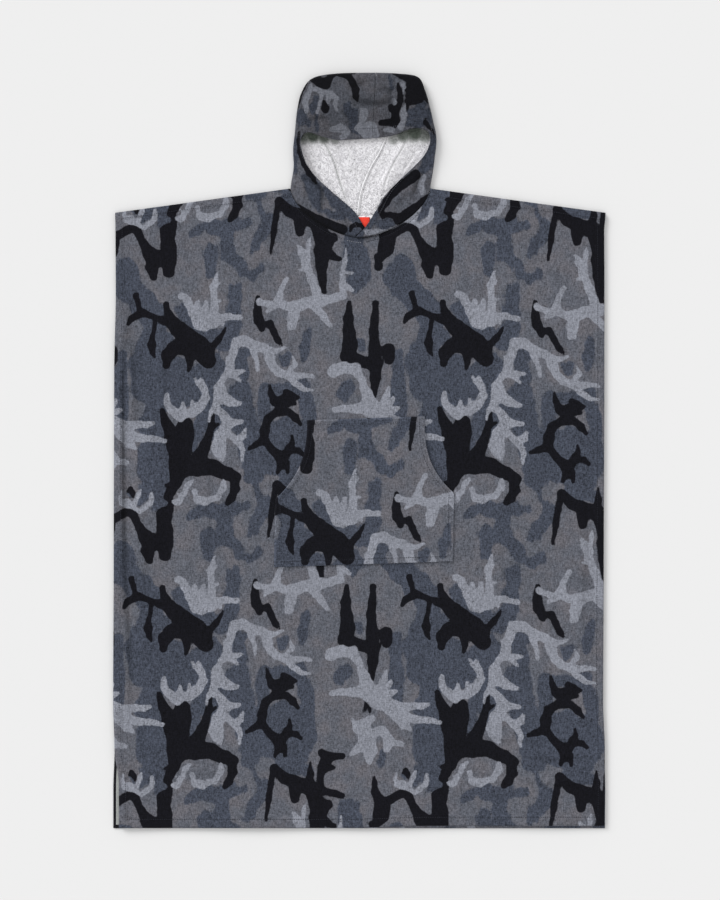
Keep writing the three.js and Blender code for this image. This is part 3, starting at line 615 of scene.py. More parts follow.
def crease_height(creases, x, y):
    """Troughs along bent lines, each with a soft ridge on one side, and shallower towards its ends."""
    total = np.zeros(x.shape)
    for depth, width, ridge, *points in creases:
        points = np.array(points, float)
        legs = np.diff(points, axis=0)
        lengths = np.hypot(*legs.T)
        before = np.concatenate([[0], lengths.cumsum()])
        low, high = points.min(0) - CREASE_REACH * width, points.max(0) + CREASE_REACH * width
        near = (x > low[0]) & (x < high[0]) & (y > low[1]) & (y < high[1])
        px, py = x[near], y[near]
        best = np.full(px.shape, np.inf)
        side, place = np.zeros(px.shape), np.zeros(px.shape)
        for point, leg, length, start in zip(points, legs, lengths, before):
            ahead = ((px - point[0]) * leg[0] + (py - point[1]) * leg[1]) / length
            away = (leg[0] * (py - point[1]) - leg[1] * (px - point[0])) / length
            inside = np.clip(ahead, 0, length)
            distance = np.hypot(ahead - inside, away)
            closer = distance < best
            best[closer] = distance[closer]
            side[closer] = np.copysign(distance, away)[closer]
            place[closer] = (start + inside)[closer]
        fade = np.sqrt(np.sin(np.pi * np.clip(place / before[-1], 0.001, 0.999)))
        trough = bell(side, -depth, 0, width)
        swell = bell(side, ridge, RIDGE_AWAY * width, RIDGE_WIDTH * width)
        total[near] += fade * (trough + swell)
    return total


def painted_crease_shade(dip):
    """Painted shade: how much darker the pile is painted down in a crease."""
    return CREASE_PAINTED_SHADE * np.clip(-dip / 2, 0, 1) ** 0.8


def make_waves(count, longest, shortest):
    """A few waves in random directions: the unevenness that no cloth is without."""
    length = np.exp(rng.uniform(np.log(shortest), np.log(longest), count))
    angle = rng.uniform(0, 2 * np.pi, count)
    phase = rng.uniform(0, 1, count)
    return np.column_stack([np.cos(angle) / length, np.sin(angle) / length, phase, length])


def waves(table, x, y):
    """The height of the waves, between one down and one up."""
    total = np.zeros(x.shape)
    weight = table[:, 3] / table[:, 3].sum()
    for (a, b, phase, _), share in zip(table, weight):
        total += share * np.sin(2 * np.pi * (a * x + b * y + phase))
    return total


# Each as a count, the longest and the shortest
BROAD = make_waves(9, 260, 90)
SMALL = make_waves(14, 60, 22)
TINY = make_waves(18, 18, 8)


def uneven(cloth, x, y):
    """How uneven a cloth lies, by its broad, its small and its tiny waves."""
    return sum(size * waves(table, x, y) for size, table in zip(UNEVEN[cloth], (BROAD, SMALL, TINY)) if size)


# The print


def stroke_distance(strokes, u, v, blend, wrap):
    """How far each place lies outside the nearest stroke, below nothing inside one."""
    nearest = np.full(u.shape, STROKE_NONE)
    for stroke in strokes:
        for (x1, y1, r1), (x2, y2, r2) in zip(stroke[:-1], stroke[1:]):
            du, dv = u - (x1 + x2) / 2, v - (y1 + y2) / 2
            if wrap:
                du = du - REPEAT[0] * np.round(du / REPEAT[0])
                dv = dv - REPEAT[1] * np.round(dv / REPEAT[1])
            ax, ay = (x2 - x1) / 2, (y2 - y1) / 2
            near = (np.abs(du) < abs(ax) + STROKE_REACH) & (np.abs(dv) < abs(ay) + STROKE_REACH)
            if not near.any():
                continue
            du, dv = du[near], dv[near]
            share = np.clip((du * ax + dv * ay) / (ax * ax + ay * ay) / 2 + 0.5, 0, 1)
            away = np.hypot(du + ax - 2 * ax * share, dv + ay - 2 * ay * share) - (r1 + (r2 - r1) * share)
            old = nearest[near]
            new = np.clip(0.5 + 0.5 * (old - away) / blend, 0, 1)
            nearest[near] = old * (1 - new) + away * new - blend * new * (1 - new)
    return np.minimum(nearest, STROKE_FAR)


def wobble(u, v, size, seed):
    """A wandering offset that repeats with the print."""
    local = np.random.default_rng(seed)
    du, dv = np.zeros(u.shape), np.zeros(u.shape)
    for _ in range(WOBBLE["tries"]):
        a, b = local.integers(-WOBBLE["most"], WOBBLE["most"] + 1, 2)
        phase = local.uniform(0, 2 * np.pi, 2)
        if a * a + b * b < WOBBLE["least_squared"]:
            continue
        wave = 2 * np.pi * (a * u / REPEAT[0] + b * v / REPEAT[1])
        strength = size / (WOBBLE["fall"] * math.hypot(a, b))
        du += strength * np.sin(wave + phase[0])
        dv += strength * np.sin(wave + phase[1])
    return u + du, v + dv


def layer_distances(charts, u, v, wrap):
    """The printed layers as distances from their edges, in millimetres."""
    found = {}
    for key, (size, seed, blend) in LAYERS.items():
        found[key] = stroke_distance(charts[key], *wobble(u, v, size, seed), blend, wrap)
    return found


def repeat_place(x, y):
    """A place on the front as a place in the repeat, across it and down it."""
    px, py = x - REPEAT_CORNER[0], REPEAT_CORNER[1] - y
    cross = ACROSS[0] * DOWN[1] - ACROSS[1] * DOWN[0]
    a = (px * DOWN[1] - py * DOWN[0]) / cross
    b = (ACROSS[0] * py - ACROSS[1] * px) / cross
    return a * REPEAT[0], b * REPEAT[1]


def charted(sheets):
    """The strokes of the chart, from its sheets' own units to the repeat's millimetres."""
    strokes = []
    for sheet, drawn in sheets.items():
        left, top, unit = CHART_SHEETS[sheet]
        for stroke in drawn:
            strokes.append([(*repeat_place(left + x * unit, top - y * unit), r * unit) for x, y, r in stroke])
    return strokes


REPEAT_CHARTS = {"slate": charted(SLATE), "black": charted(BLACK), "pale": charted(PALE)}


def body_print(x, y, shift=(0.0, 0.0)):
    """The printed layers of the repeat, which lies shifted on every piece but the front."""
    slip = ease(x, *SLIP_ACROSS)
    square_x = x - SLIP_OUT * slip * (1.0 - ease(y, *SLIP_LOWER))
    square_y = y + SLIP_DOWN * slip
    return layer_distances(REPEAT_CHARTS, *repeat_place(square_x - shift[0], square_y - shift[1]), True)


# Meshes


def link_mesh(name, points, faces, materials):
    """A piece of the scene, with its points in millimetres."""
    mesh = bpy.data.meshes.new(name)
    mesh.from_pydata((np.asarray(points) * MM).tolist(), [], faces)
    mesh.polygons.foreach_set("use_smooth", np.ones(len(faces), bool))
    for material in materials:
        mesh.materials.append(material)
    mesh.update()
    piece = bpy.data.objects.new(name, mesh)
    bpy.context.scene.collection.objects.link(piece)
    return piece


def add_layer(piece, key, values):
    """A number for each point, which the materials read."""
    layer = piece.data.attributes.new(key, "FLOAT", "POINT")
    layer.data.foreach_set("value", values.astype(np.float32))


def grid_faces(rows, columns, step):
    """The cells of a grid. A step over one makes cells of several, whose outer edges keep every point."""
    if step == 1:
        index = np.arange(rows * columns).reshape(rows, columns)
        cells = np.stack([index[:-1, :-1], index[:-1, 1:], index[1:, 1:], index[1:, :-1]], -1)
        return cells.reshape(-1, 4).tolist(), np.arange((rows - 1) * (columns - 1))
    down = sorted({*range(0, rows - 1, step), rows - 1})
    across = sorted({*range(0, columns - 1, step), columns - 1})
    faces, cells = [], []
    for r0, r1 in zip(down[:-1], down[1:]):
        for c0, c1 in zip(across[:-1], across[1:]):
            low = range(c0, c1) if r0 == 0 else (c0,)
            right = range(r0, r1) if c1 == columns - 1 else (r0,)
            high = range(c1, c0, -1) if r1 == rows - 1 else (c1,)
            left = range(r1, r0, -1) if c0 == 0 else (r1,)
            faces.append([r0 * columns + c for c in low] + [r * columns + c1 for r in right]
                         + [r1 * columns + c for c in high] + [r * columns + c0 for r in left])
            cells.append(r0 * (columns - 1) + c0)
    return faces, np.array(cells)


def shell(name, top, low, top_material, low_material, layers, materials, steps=(1, 1)):
    """A closed cloth from two grids of points. The materials are chosen cell by cell."""
    rows, columns = top.shape[:2]
    count = rows * columns
    points = np.concatenate([top.reshape(-1, 3), low.reshape(-1, 3)])
    upper, upper_cells = grid_faces(rows, columns, steps[0])
    under, under_cells = grid_faces(rows, columns, steps[1])
    under = [[count + i for i in reversed(face)] for face in under]
    index = np.arange(count).reshape(rows, columns)
    ring = np.concatenate([index[0, :-1], index[:-1, -1], index[-1, :0:-1], index[:0:-1, 0]])
    after = np.roll(ring, -1)
    rim = np.stack([after, ring, ring + count, after + count], -1).tolist()
    corner, across, down = points[index[:-1, :-1]], points[index[:-1, 1:]], points[index[1:, :-1]]
    outward = (top - low)[:-1, :-1]
    faces = upper + under + rim
    if (np.cross(across - corner, down - corner) * outward).sum() < 0:
        faces = [face[::-1] for face in faces]
    used = np.zeros(2 * count, bool)
    used[np.concatenate([np.array(face) for face in faces])] = True
    renumber = np.cumsum(used) - 1
    faces = [renumber[face].tolist() for face in faces]
    piece = link_mesh(name, points[used], faces, materials)
    cells = (rows - 1, columns - 1)
    chosen = np.concatenate([
        np.broadcast_to(top_material, cells).reshape(-1)[upper_cells],
        np.broadcast_to(low_material, cells).reshape(-1)[under_cells],
        np.zeros(len(rim), int),
    ])
    piece.data.polygons.foreach_set("material_index", chosen.astype(np.int32))
    for key, values in layers.items():
        add_layer(piece, key, np.tile(values.reshape(-1), 2)[used])
    return piece


def rounded(over, under, distance):
    """Both faces of a cloth brought together round its edge."""
    share = np.clip(distance / EDGE_RADIUS, 0, 1)
    roundness = np.maximum(np.sqrt(1 - (1 - share) ** 2), EDGE_LEFT)[..., None]
    middle, half = (over + under) / 2, (over - under) / 2
    return middle + half * roundness, middle - half * roundness


def band_height(distance, width, height=TURNING):
    """A turned hem: a step down at its inner edge and a groove where it is stitched."""
    step = height * (1 - ease(distance, width + BAND_RAMP[0], width + BAND_RAMP[1]))
    return step - bell(distance, GROOVE_DEPTH, width - STITCH_INSET, GROOVE_WIDTH)


def banded(*bands):
    """The turned hems of a cloth together, which are nowhere lower than their grooves."""
    return np.maximum(np.maximum.reduce(bands), -GROOVE_DEPTH)


def pucker(along, distance, width, seed):
    """Small gathers beside a line of stitches."""
    phase = sum(size * np.sin(along / length + turn * seed)
                for turn, (size, length) in enumerate(PUCKER_DRIFT, 1))
    return bell(distance, PUCKER["height"], width, PUCKER["reach"]) * np.sin(along / PUCKER["length"] + phase)


# The body's panels


def neckline(neck, x):
    """The scoop of a neckline, as far as it drops and as round as it is."""
    share = np.clip(np.abs(x - NECK_MIDDLE) / NECK_HALF, 0, 1)
    return NECK_Y - neck[0] * (1 - share ** neck[1]) ** (1 / neck[1])


def upper_edge(neck, x):
    """The shoulders, which slope outwards, and the neckline between them."""
    left = NECK_Y + (SHOULDER_TIP_Y - NECK_Y) * (NECK_LEFT - x) / (HALF_WIDTH + NECK_LEFT)
    right = NECK_Y + (SHOULDER_TIP_Y - NECK_Y) * (x - NECK_RIGHT) / (HALF_WIDTH - NECK_RIGHT)
    return np.where(x <= NECK_LEFT, left, np.where(x >= NECK_RIGHT, right, neckline(neck, x)))


def side_wander(x, y):
    """How far the cloth lies outwards because its sides aren't straight."""
    out = np.where(x < 0, table_value(SIDES, y, 1), table_value(SIDES, y, 2))
    return np.sign(x) * out * ease(np.abs(x), HALF_WIDTH / 2, HALF_WIDTH)


def panel_columns(step, left_step):
    """Places across a panel, closer together near its sides and where the neckline is steep."""
    inner = HALF_WIDTH - NEAR_EDGE[-1]
    bend = 1 - np.cos(np.linspace(0, np.pi / 2, int(NECK_HALF * 1.5 / step)))
    return np.concatenate([
        NEAR_EDGE - HALF_WIDTH,
        np.arange(-inner + left_step, LEFT_END, left_step),
        np.arange(LEFT_END, NECK_LEFT - step / 2, step),
        NECK_LEFT + (NECK_MIDDLE - NECK_LEFT) * bend,
        (NECK_RIGHT + (NECK_MIDDLE - NECK_RIGHT) * bend)[-2::-1],
        np.arange(NECK_RIGHT + step, inner - step / 2, step),
        (HALF_WIDTH - NEAR_EDGE)[::-1],
    ])


def panel_grid(neck, hem, step, left_step):
    """A panel's points, and how far they lie from its hem, its upper edge and its side."""
    columns = panel_columns(step, left_step)
    top = upper_edge(neck, columns)
    bottom = hem(columns)
    hem_offsets = NEAR_EDGE * HEM_BAND / SIDE_BAND
    low, high = bottom + hem_offsets[-1], top - NEAR_EDGE[-1]
    middle = np.linspace(0, 1, int((NECK_Y - HEM_Y) / step))[1:-1]
    rows = [bottom + offset for offset in hem_offsets]
    rows += [low + (high - low) * share for share in middle]
    rows += [top - offset for offset in NEAR_EDGE[::-1]]
    y = np.array(rows)
    x = np.broadcast_to(columns, y.shape).copy()
    return x, y, y - bottom, top - y, HALF_WIDTH - np.abs(x)


def cell_of(grid):
    """A grid's values in the middle of its cells."""
    return (grid[:-1, :-1] + grid[1:, 1:]) / 2


def sewn_shoulder(x, shoulder):
    """Where the shoulders' turnings hide the towelling from the side."""
    across = cell_of(x)
    return ((across < NECK_LEFT) | (across > NECK_RIGHT)) & (cell_of(shoulder) < SHOULDER_BAND)


def turned_in(x, hem, shoulder, side):
    """The cells where a turned edge shows the printed side of the cloth underneath."""
    return (cell_of(side) < SIDE_BAND) | (cell_of(hem) < HEM_BAND) | sewn_shoulder(x, shoulder)


def cloth_faces(x, y, low, top, border):
    """The upper and lower points of a cloth, rounded along its border."""
    return rounded(np.dstack([x, y, top]), np.dstack([x, y, low]), border)


def front_hem(x):
    """The front's hem, which rises from its left part to its right part."""
    left, right = BACK_HEM_SHOWS
    return HEM_Y + left + (right - left) * ease(x, *HEM_RISES)


def front_vent(x, y):
    """How far inwards the front's cloth is drawn beside its vents."""
    opening = np.sign(x) * np.where(x < 0, *VENT_OPEN)
    below_top = 1 - ease(y, VENT_TOP_Y - VENT_RUN, VENT_TOP_Y)
    return opening * below_top * ease(np.abs(x), VENT_DRAWN, HALF_WIDTH)


def front_lift(x, y):
    """How far the front is lifted by its folds and by the wave along its hem."""
    wave = 0.5 + 0.5 * np.sin(2 * np.pi * x / HEM_WAVE["length"])
    by_hem = 1 - ease(y, HEM_Y, HEM_Y + HEM_WAVE["reach"])
    return fold_height(FRONT_FOLDS, x, y) + HEM_WAVE["height"] * wave * by_hem


def front_low(x, y, inside):
    """The underside of the front, which is quieter beneath the pocket."""
    across, up = (x - POCKET["x"]) / QUIET_HALF[0], (y - POCKET["y"]) / QUIET_HALF[1]
    quiet = ease(np.hypot(across, up), *QUIET_ENDS)
    loose = quiet * uneven("front", x, y) + 0.16 * waves(TINY, x, y)
    return FRONT_BASE + front_lift(x, y) + inside * loose


def front_surface(x, y, hem, shoulder, side):
    """The front's lower and upper heights, and how far its creases dip."""
    low = front_low(x, y, ease(np.minimum.reduce([hem, side, shoulder]), *FADES["front"]))
    at_shoulder = (x < NECK_LEFT) | (x > NECK_RIGHT)
    bands = banded(band_height(side, SIDE_BAND), band_height(hem, HEM_BAND),
                   np.where(at_shoulder, band_height(shoulder, SHOULDER_BAND), -1))
    neck_roll = NECK_ROLL * (1 - ease(shoulder, *NECK_ROLL_ENDS)) - bell(shoulder, *NECK_GROOVE)
    from_left = ease(x, NECK_LEFT - NECK_FADE, NECK_LEFT + NECK_FADE)
    by_neck = from_left * (1 - ease(x, NECK_RIGHT - NECK_FADE, NECK_RIGHT + NECK_FADE))
    top = low + WALL + bands + by_neck * neck_roll
    dip = crease_height(FRONT_CREASES, x, y) * ease(np.minimum(hem, side), *FADES["creases"])
    top += dip
    low = np.maximum(low + dip, np.minimum(low, LOWEST_FRONT))
    top += pucker(y, side, SIDE_BAND - STITCH_INSET, 0.4) + pucker(x, hem, HEM_BAND - STITCH_INSET, 1.3)
    return low, top + by_neck * pucker(x, shoulder, NECK_GROOVE[1], 0.2), dip


def make_front(materials):
    """The front panel, and the points of its upper side."""
    x, y, hem, shoulder, side = panel_grid(FRONT_NECK, front_hem, FRONT_STEP, FRONT_LEFT_STEP)
    low, top, dip = front_surface(x, y, hem, shoulder, side)
    place_x = x + side_wander(x, y) - front_vent(x, y)
    over, under = cloth_faces(place_x, y, low, top, np.minimum.reduce([hem, side, shoulder]))
    inner = np.where(turned_in(x, hem, shoulder, side), 0, 1)
    # Painted shade along the front's neckline seam
    seam_painted_shade = SEAM_PAINTED_SHADE * (1 - ease(shoulder, *SEAM_SHADE_ENDS)) * (x > NECK_LEFT) * (x < NECK_RIGHT)
    # The dim layer: painted shade down in the creases, and the seam's painted shade
    layers = body_print(x, y) | {"dim": np.maximum(painted_crease_shade(dip), seam_painted_shade)}
    return shell("front_cloth", over, under, 0, inner, layers, materials, (1, 3)), over


def make_back(materials):
    """The back panel, and the points of its upper side."""
    x, y, hem, shoulder, side = panel_grid(BACK_NECK, lambda x: np.full(x.shape, HEM_Y), BACK_STEP, BACK_STEP)
    border = np.minimum.reduce([hem, side, shoulder])
    top = WALL + banded(band_height(side, SIDE_BAND), band_height(hem, HEM_BAND),
                        band_height(shoulder, SHOULDER_BAND))
    dents = 0.35 + uneven("back", x, y) - crease_height(FRONT_CREASES, -x, y) * 0.25
    low = FLOOR_GAP + np.clip(dents, 0, 1) * ease(border, *FADES["back"])
    over, under = cloth_faces(x + side_wander(x, y), y, low, top, border)
    at_vent = (cell_of(y) < VENT_TOP_Y) & (cell_of(side) > VENT_BAND) & (cell_of(hem) > VENT_BAND)
    inner = np.where(turned_in(x, hem, shoulder, side) & ~at_vent, 0, 1)
    layers = body_print(-x, y, BACK_SHIFT)
    layers["black"] = np.minimum(layers["black"], stroke_distance(VENT_BLACK, x, y, 1, False))
    layers["dusk"] = VENT_DUSK * (y < VENT_TOP_Y)
    return shell("back_cloth", over, under, inner, 0, layers, materials, (3, 1)), over


def pocket_half_width(y):
    """The pocket is narrowest at its top, below which its hand openings curve outwards."""
    share = np.clip((POCKET["half"] - y) / (POCKET["half"] - POCKET_CORNER_Y), 0, 1)
    return POCKET["top"] + (POCKET["bottom"] - POCKET["top"]) * share ** POCKET_CURVE


def pocket_place(x, y):
    """A place on the pocket as a place in the frame."""
    turn, lean = math.radians(POCKET["turn"]), math.radians(POCKET_LEAN)
    return (
        POCKET["x"] + x * math.cos(turn) + y * math.sin(lean),
        POCKET["y"] + x * math.sin(turn) + y * math.cos(lean),
    )


def make_pocket(materials):
    """The pocket, and the points of its upper side."""
    edge = NEAR_EDGE * POCKET_BAND / SIDE_BAND
    half = POCKET["half"]
    middle = np.linspace(edge[-1] - half, half - edge[-1], POCKET_ROWS)[1:-1]
    ys = np.concatenate([edge - half, middle, (half - edge)[::-1]])
    width = pocket_half_width(ys)
    share = np.linspace(-1, 1, POCKET_COLUMNS)[1:-1]
    x = np.array([np.concatenate([edge - w, share * (w - edge[-1]), (w - edge)[::-1]]) for w in width])
    y = np.broadcast_to(ys[:, None], x.shape)
    side = width[:, None] - np.abs(x)
    ends = half - np.abs(y)
    border = np.minimum(side, ends)
    opening = ease(y, POCKET_CORNER_Y, POCKET_CORNER_Y + POCKET_OPENS) * (1 - ease(y, POCKET_CLOSES_Y, half))
    near_side = ease(np.abs(x) / width[:, None], POCKET_MIDDLE, 1)
    px, py = pocket_place(x, y)
    lift = POCKET_LIFT * opening * (POCKET_MIDDLE + (1 - POCKET_MIDDLE) * near_side)
    low = FRONT_BASE + WALL + SEAM_GAP + lift
    loose = 0.4 * waves(SMALL, px, py) + 0.5
    low = low + ease(border, *FADES["pocket"]) * loose + 0.12 * waves(TINY, px, py)
    top = low + WALL + banded(band_height(side, POCKET_BAND, THIN_TURNING),
                              band_height(ends, POCKET_BAND, THIN_TURNING))
    stitched = POCKET_BAND - STITCH_INSET
    top = top + pucker(py, side, stitched, 0.9) + pucker(px, ends, stitched, 2.1)
    over, under = cloth_faces(px, py, low, top, border)
    # A painted highlight along the pocket's rolled edge, as a dim below nothing
    layers = body_print(px, py, POCKET_SHIFT) | {"dim": -POCKET_EDGE_PAINTED_HIGHLIGHT * (1 - ease(border, *POCKET_HIGHLIGHT_ENDS))}
    return shell("pocket_cloth", over, under, 0, 1, layers, materials, (1, 3)), over


# The hood


def spline(points, share):
    """A curve through points, the same as the solids follow."""
    points = np.asarray(points, float)
    place = np.clip(share, 0, 1) * (len(points) - 1)
    first = np.minimum(np.floor(place).astype(int), len(points) - 2)
    t = (place - first)[:, None]
    p0, p1, p2, p3 = (points[np.clip(first + i, 0, len(points) - 1)] for i in (-1, 0, 1, 2))
    v0, v1 = (p2 - p0) / 2, (p3 - p1) / 2
    return (2 * p1 - 2 * p2 + v0 + v1) * t ** 3 + (-3 * p1 + 3 * p2 - 2 * v0 - v1) * t ** 2 + v0 * t + p1


def neck_edge(neck, x):
    """Points just inside a neckline, where the hood is sewn on."""
    step = 0.05
    rise = (neckline(neck, x + step) - neckline(neck, x - step)) / (2 * step)
    length = np.hypot(rise, 1)
    return np.stack([x - rise / length * NECK_GAP, neckline(neck, x) + NECK_GAP / length], -1)


def both_ends(first, last, count):
    """Places from one to another, closer together near both."""
    share = np.linspace(0, 1, count)
    return first + (last - first) * (share + 0.5 - 0.5 * np.cos(np.pi * share)) / 2


def even_rows(table):
    """Shares of the way round the hood that leave its rows about as far apart all along."""
    share = np.linspace(0, 1, 1000)
    curves = np.hstack([spline(table[:, :2], share), spline(table[:, 2:4], share)])
    run = run_along(curves)
    return np.interp(np.linspace(0, run[-1], HOOD_ROWS), run, share)


def dusk_at(x, y):
    """How much of the light the crown's hem keeps off the towelling under it."""
    dusk = np.zeros(x.shape)
    for corner_x, corner_y, reach, strength in HOOD_CORNERS:
        away = np.hypot(x - corner_x, y - corner_y)
        dusk = np.maximum(dusk, strength * (1 - ease(away, reach * 0.45, reach * 1.25)))
    return dusk


def plan_length(plan, column):
    """How far each point of a plan lies from its row's point in one column."""
    return np.hypot(*(plan - plan[:, column:column + 1 or None]).transpose(2, 0, 1))


def ways_out(table, side, share):
    """The ways out of the fold: straight sideways at the neck and straight up at the crown."""
    last = len(table) - 1
    step = 0.002
    further = spline(table[:, :2], np.minimum(share + step, 1 - step / 2))
    ahead = further - spline(table[:, :2], np.minimum(share, 1 - step * 1.5))
    out = np.stack([side * ahead[:, 1], -side * ahead[:, 0]], -1)
    out /= np.linalg.norm(out, axis=1, keepdims=True)
    number = share * last
    for weight, way in ((ease(number, last - 1, last), (0, 1)), (1 - ease(number, 0, 0.8), (side, 0))):
        out = out * (1 - weight[:, None]) + np.array(way) * weight[:, None]
    return out / np.linalg.norm(out, axis=1, keepdims=True)


def neck_bend(neck, first, last, count):
    """Shares of the way between two points, and how far the neckline bends away from that way."""
    x = both_ends(first[0], last[0], count)
    part = (x - x[0]) / (x[-1] - x[0])
    return part, neck_edge(neck, x) - (first + (last - first) * part[:, None])


def hood_back(plan, part):
    """The inside of a half's back, and the dusk in its creases."""
    px, py = plan[..., 0], plan[..., 1]
    from_seam = plan_length(plan, 0)
    away = 1 - ease(part, 0.85, 0.97)
    ridge = TAPE_RIDGE * (1 - ease(from_seam, *TAPE_ENDS)) - bell(from_seam, *TAPE_GROOVE)
    inside = crease_height(HOOD_INSIDE_CREASES, px, py)
    crease = fold_height(HOOD_CREASES, px, py) + inside
    dusk = np.maximum(0.6 * np.clip(-inside / 1.2, 0, 1), bell(from_seam, *TAPE_DUSK))
    neck_tape = bell(py - neckline(BACK_NECK, px), *NECK_TAPE) * (np.abs(px - NECK_MIDDLE) < NECK_TAPE_REACH)
    rough = uneven("hood_inside", px, py) * ease(part, 0, 0.1)
    return WALL + ridge + away * (crease + neck_tape + rough), dusk


def hood_front(plan, part, edge, number, flat):
    """The two faces of a half's front, how far they lie from its hem's edge, and how its creases dip."""
    px, py = plan[..., 0], plan[..., 1]
    to_edge = plan_length(plan, -1)
    hem = band_height(to_edge, HOOD_HEM, THIN_TURNING)
    dip = crease_height(HOOD_FRONT_CREASES, px, py)
    crown_seam = bell(plan_length(plan.transpose(1, 0, 2), -1).T, *CROWN_SEAM)
    top = flat + banded(hem) + pucker(run_along(edge)[:, None], to_edge, HOOD_HEM - STITCH_INSET, 0.7)
    loose = uneven("hood", px, py) + dip
    top = top + loose * ease(part, 0.05, 0.4) * ease(number, 0.2, 2)[:, None] + crown_seam
    return np.dstack([plan, top]), np.dstack([plan, top - WALL - np.maximum(hem, 0)]), to_edge, dip


def hood_print(side, over, fold, out):
    """The printed layers: the hood's own chart on its front, and the repeat beyond the fold."""
    steps = np.linalg.norm(np.diff(over, axis=1), axis=2)
    measure = np.concatenate([np.zeros((HOOD_ROWS, 1)), steps.cumsum(1)], 1)
    crest = BACK_PART + FOLD_PART // 2
    measure -= measure[:, crest:crest + 1]
    on_front = ease(measure, *OWN_PRINT)[..., None]
    sheet = over[..., :2] * on_front + (fold[:, None] - out[:, None] * measure[..., None]) * (1 - on_front)
    black = HOOD_BLACK_LEFT if side < 0 else HOOD_BLACK_RIGHT
    charts = {"slate": HOOD_SLATE, "black": black, "pale": HOOD_PALE}
    own = layer_distances(charts, sheet[..., 0], sheet[..., 1], False)
    repeat = body_print(-over[..., 0], -over[..., 1], (side * HOOD_SHIFT[0], HOOD_SHIFT[1]))
    beneath = 1 - ease(measure, *REPEAT_PRINT)
    return {key: own[key] * (1 - beneath) + repeat[key] * beneath for key in own}


def make_hood_half(side, materials):
    """Half a hood, its towelling inside, its row of stitches and the hem of the face opening."""
    table = HOOD_LEFT if side < 0 else HOOD_RIGHT
    share = even_rows(table)
    number = share * (len(table) - 1)
    numbered = np.column_stack([np.arange(len(table)), table])
    fold, edge, start = spline(table[:, :2], share), spline(table[:, 2:4], share), spline(HOOD_SEAM, share)
    fold_top, edge_top, puff = (table_value(numbered, number, k)[:, None] for k in (5, 6, 7))
    out = ways_out(table, side, share)
    radius = fold_top / 2
    rim = fold - out * radius
    rim_neck = np.array([table[0, 0] - side * NECK_FOLD, table[0, 1]])
    at_neck = ((1 - np.minimum(1, number / NECK_ROWS)) ** 2)[:, None, None]
    back_part, back_bend = neck_bend(BACK_NECK, HOOD_SEAM[0], rim_neck, BACK_PART)
    front_part, front_bend = neck_bend(FRONT_NECK, rim_neck, table[0, 2:4], FRONT_PART)

    # The half's back, which lies on the floor
    plan = start[:, None] + (rim - start)[:, None] * back_part[:, None] + back_bend * at_neck
    back_high, inside_dusk = hood_back(plan, back_part)
    plan[:, 0, 0] += side * HALF_GAP
    outer = [np.dstack([plan, np.full(plan.shape[:2], FLOOR_GAP)])]
    inner = [np.dstack([plan, back_high])]

    # The fold
    for angle in np.linspace(-np.pi / 2, np.pi / 2, FOLD_PART + 2)[1:-1]:
        bend = back_bend[-1] if angle < 0 else front_bend[0]
        pull = bend * (1 - math.cos(angle)) + np.array([-side, 1]) * NECK_GAP * math.cos(angle)
        base = rim + pull * at_neck[:, 0]
        for faces, thick in ((outer, radius), (inner, radius - WALL)):
            place = base + out * thick * math.cos(angle)
            faces.append(np.column_stack([place, radius + thick * math.sin(angle)])[:, None])

    # The half's front, with the turned hem of the face opening
    plan = rim[:, None] + (edge - rim)[:, None] * front_part[:, None] + front_bend * at_neck
    flat = fold_top + (edge_top - fold_top) * ease(front_part, 0, 1) + puff * np.sin(np.pi * front_part)
    if side > 0:
        flat = flat + LAP * (1 - ease(plan[..., 0], *LAP_ACROSS)) * (1 - ease(number, *LAP_ROWS))[:, None]
    flat = flat - CROWN_SINK * ease(number, *CROWN_SINK_ROWS)[:, None] * ease(front_part, 0.3, 1)
    front_over, front_under, to_edge, dip = hood_front(plan, front_part, edge, number, flat)
    over, under = np.concatenate([*outer, front_over], 1), np.concatenate([*inner, front_under], 1)
    for faces in (over, under):
        faces[-1, 1:, 0] += side * HALF_GAP

    hem_start = over.shape[1] - FRONT_PART
    distance = np.full(over.shape[:2], np.inf)
    distance[:, hem_start:] = to_edge
    over, under = rounded(over, under, distance)

    layers = hood_print(side, over, fold, out)
    layers["dim"] = HOOD_DIM + (CROWN_DIM - HOOD_DIM) * ease(over[..., 1], *CROWN_SHADE)
    # Painted shade down in the creases of the hood's front
    layers["dim"][:, hem_start:] += painted_crease_shade(dip)
    # Painted shade along the seam where the hood meets the necklines
    layers["dim"] = np.maximum(layers["dim"], SEAM_PAINTED_SHADE * (1 - ease(number, *SEAM_SHADE_ROWS))[:, None])
    layers["dusk"] = dusk_at(under[..., 0], under[..., 1])
    layers["dusk"][:, :BACK_PART] = np.maximum(layers["dusk"][:, :BACK_PART], inside_dusk)

    inner_material = np.ones((HOOD_ROWS - 1, over.shape[1] - 1), int)
    inner_material[:, hem_start:] = to_edge[:-1, :-1] >= HOOD_HEM
    name = "hood_left_cloth" if side < 0 else "hood_right_cloth"
    piece = shell(name, over, under, 0, inner_material, layers, materials)
    inset = HOOD_HEM - STITCH_INSET
    stitched = [[np.interp(inset, gap[::-1], row[hem_start:, axis][::-1]) for axis in range(3)]
                for gap, row in zip(to_edge, over)]
    return piece, under[:, SEAM_PART:BACK_PART], np.array(stitched), edge


# Thread and loops

# The share of its thickness that a stitch has at its ends, and how deep it is sunk
STITCH = {"pitch": 3.6, "length": 2.5, "half_width": 0.5, "height": 0.55, "end": 0.3, "sunk": 0.1}
# Which row of the front's points its neckline's stitches follow, and where a paler thread shows in them
NECK_STITCHED = -6
PALE_STITCHES = (-24.0, 8.0)
# In a crease that is deeper than the last of these no loops stand
LOOP = {"area": 3.4, "reach": 0.85, "height": 0.7, "radius": 0.32, "sizes": (0.75, 1.25), "deepest": 0.25}
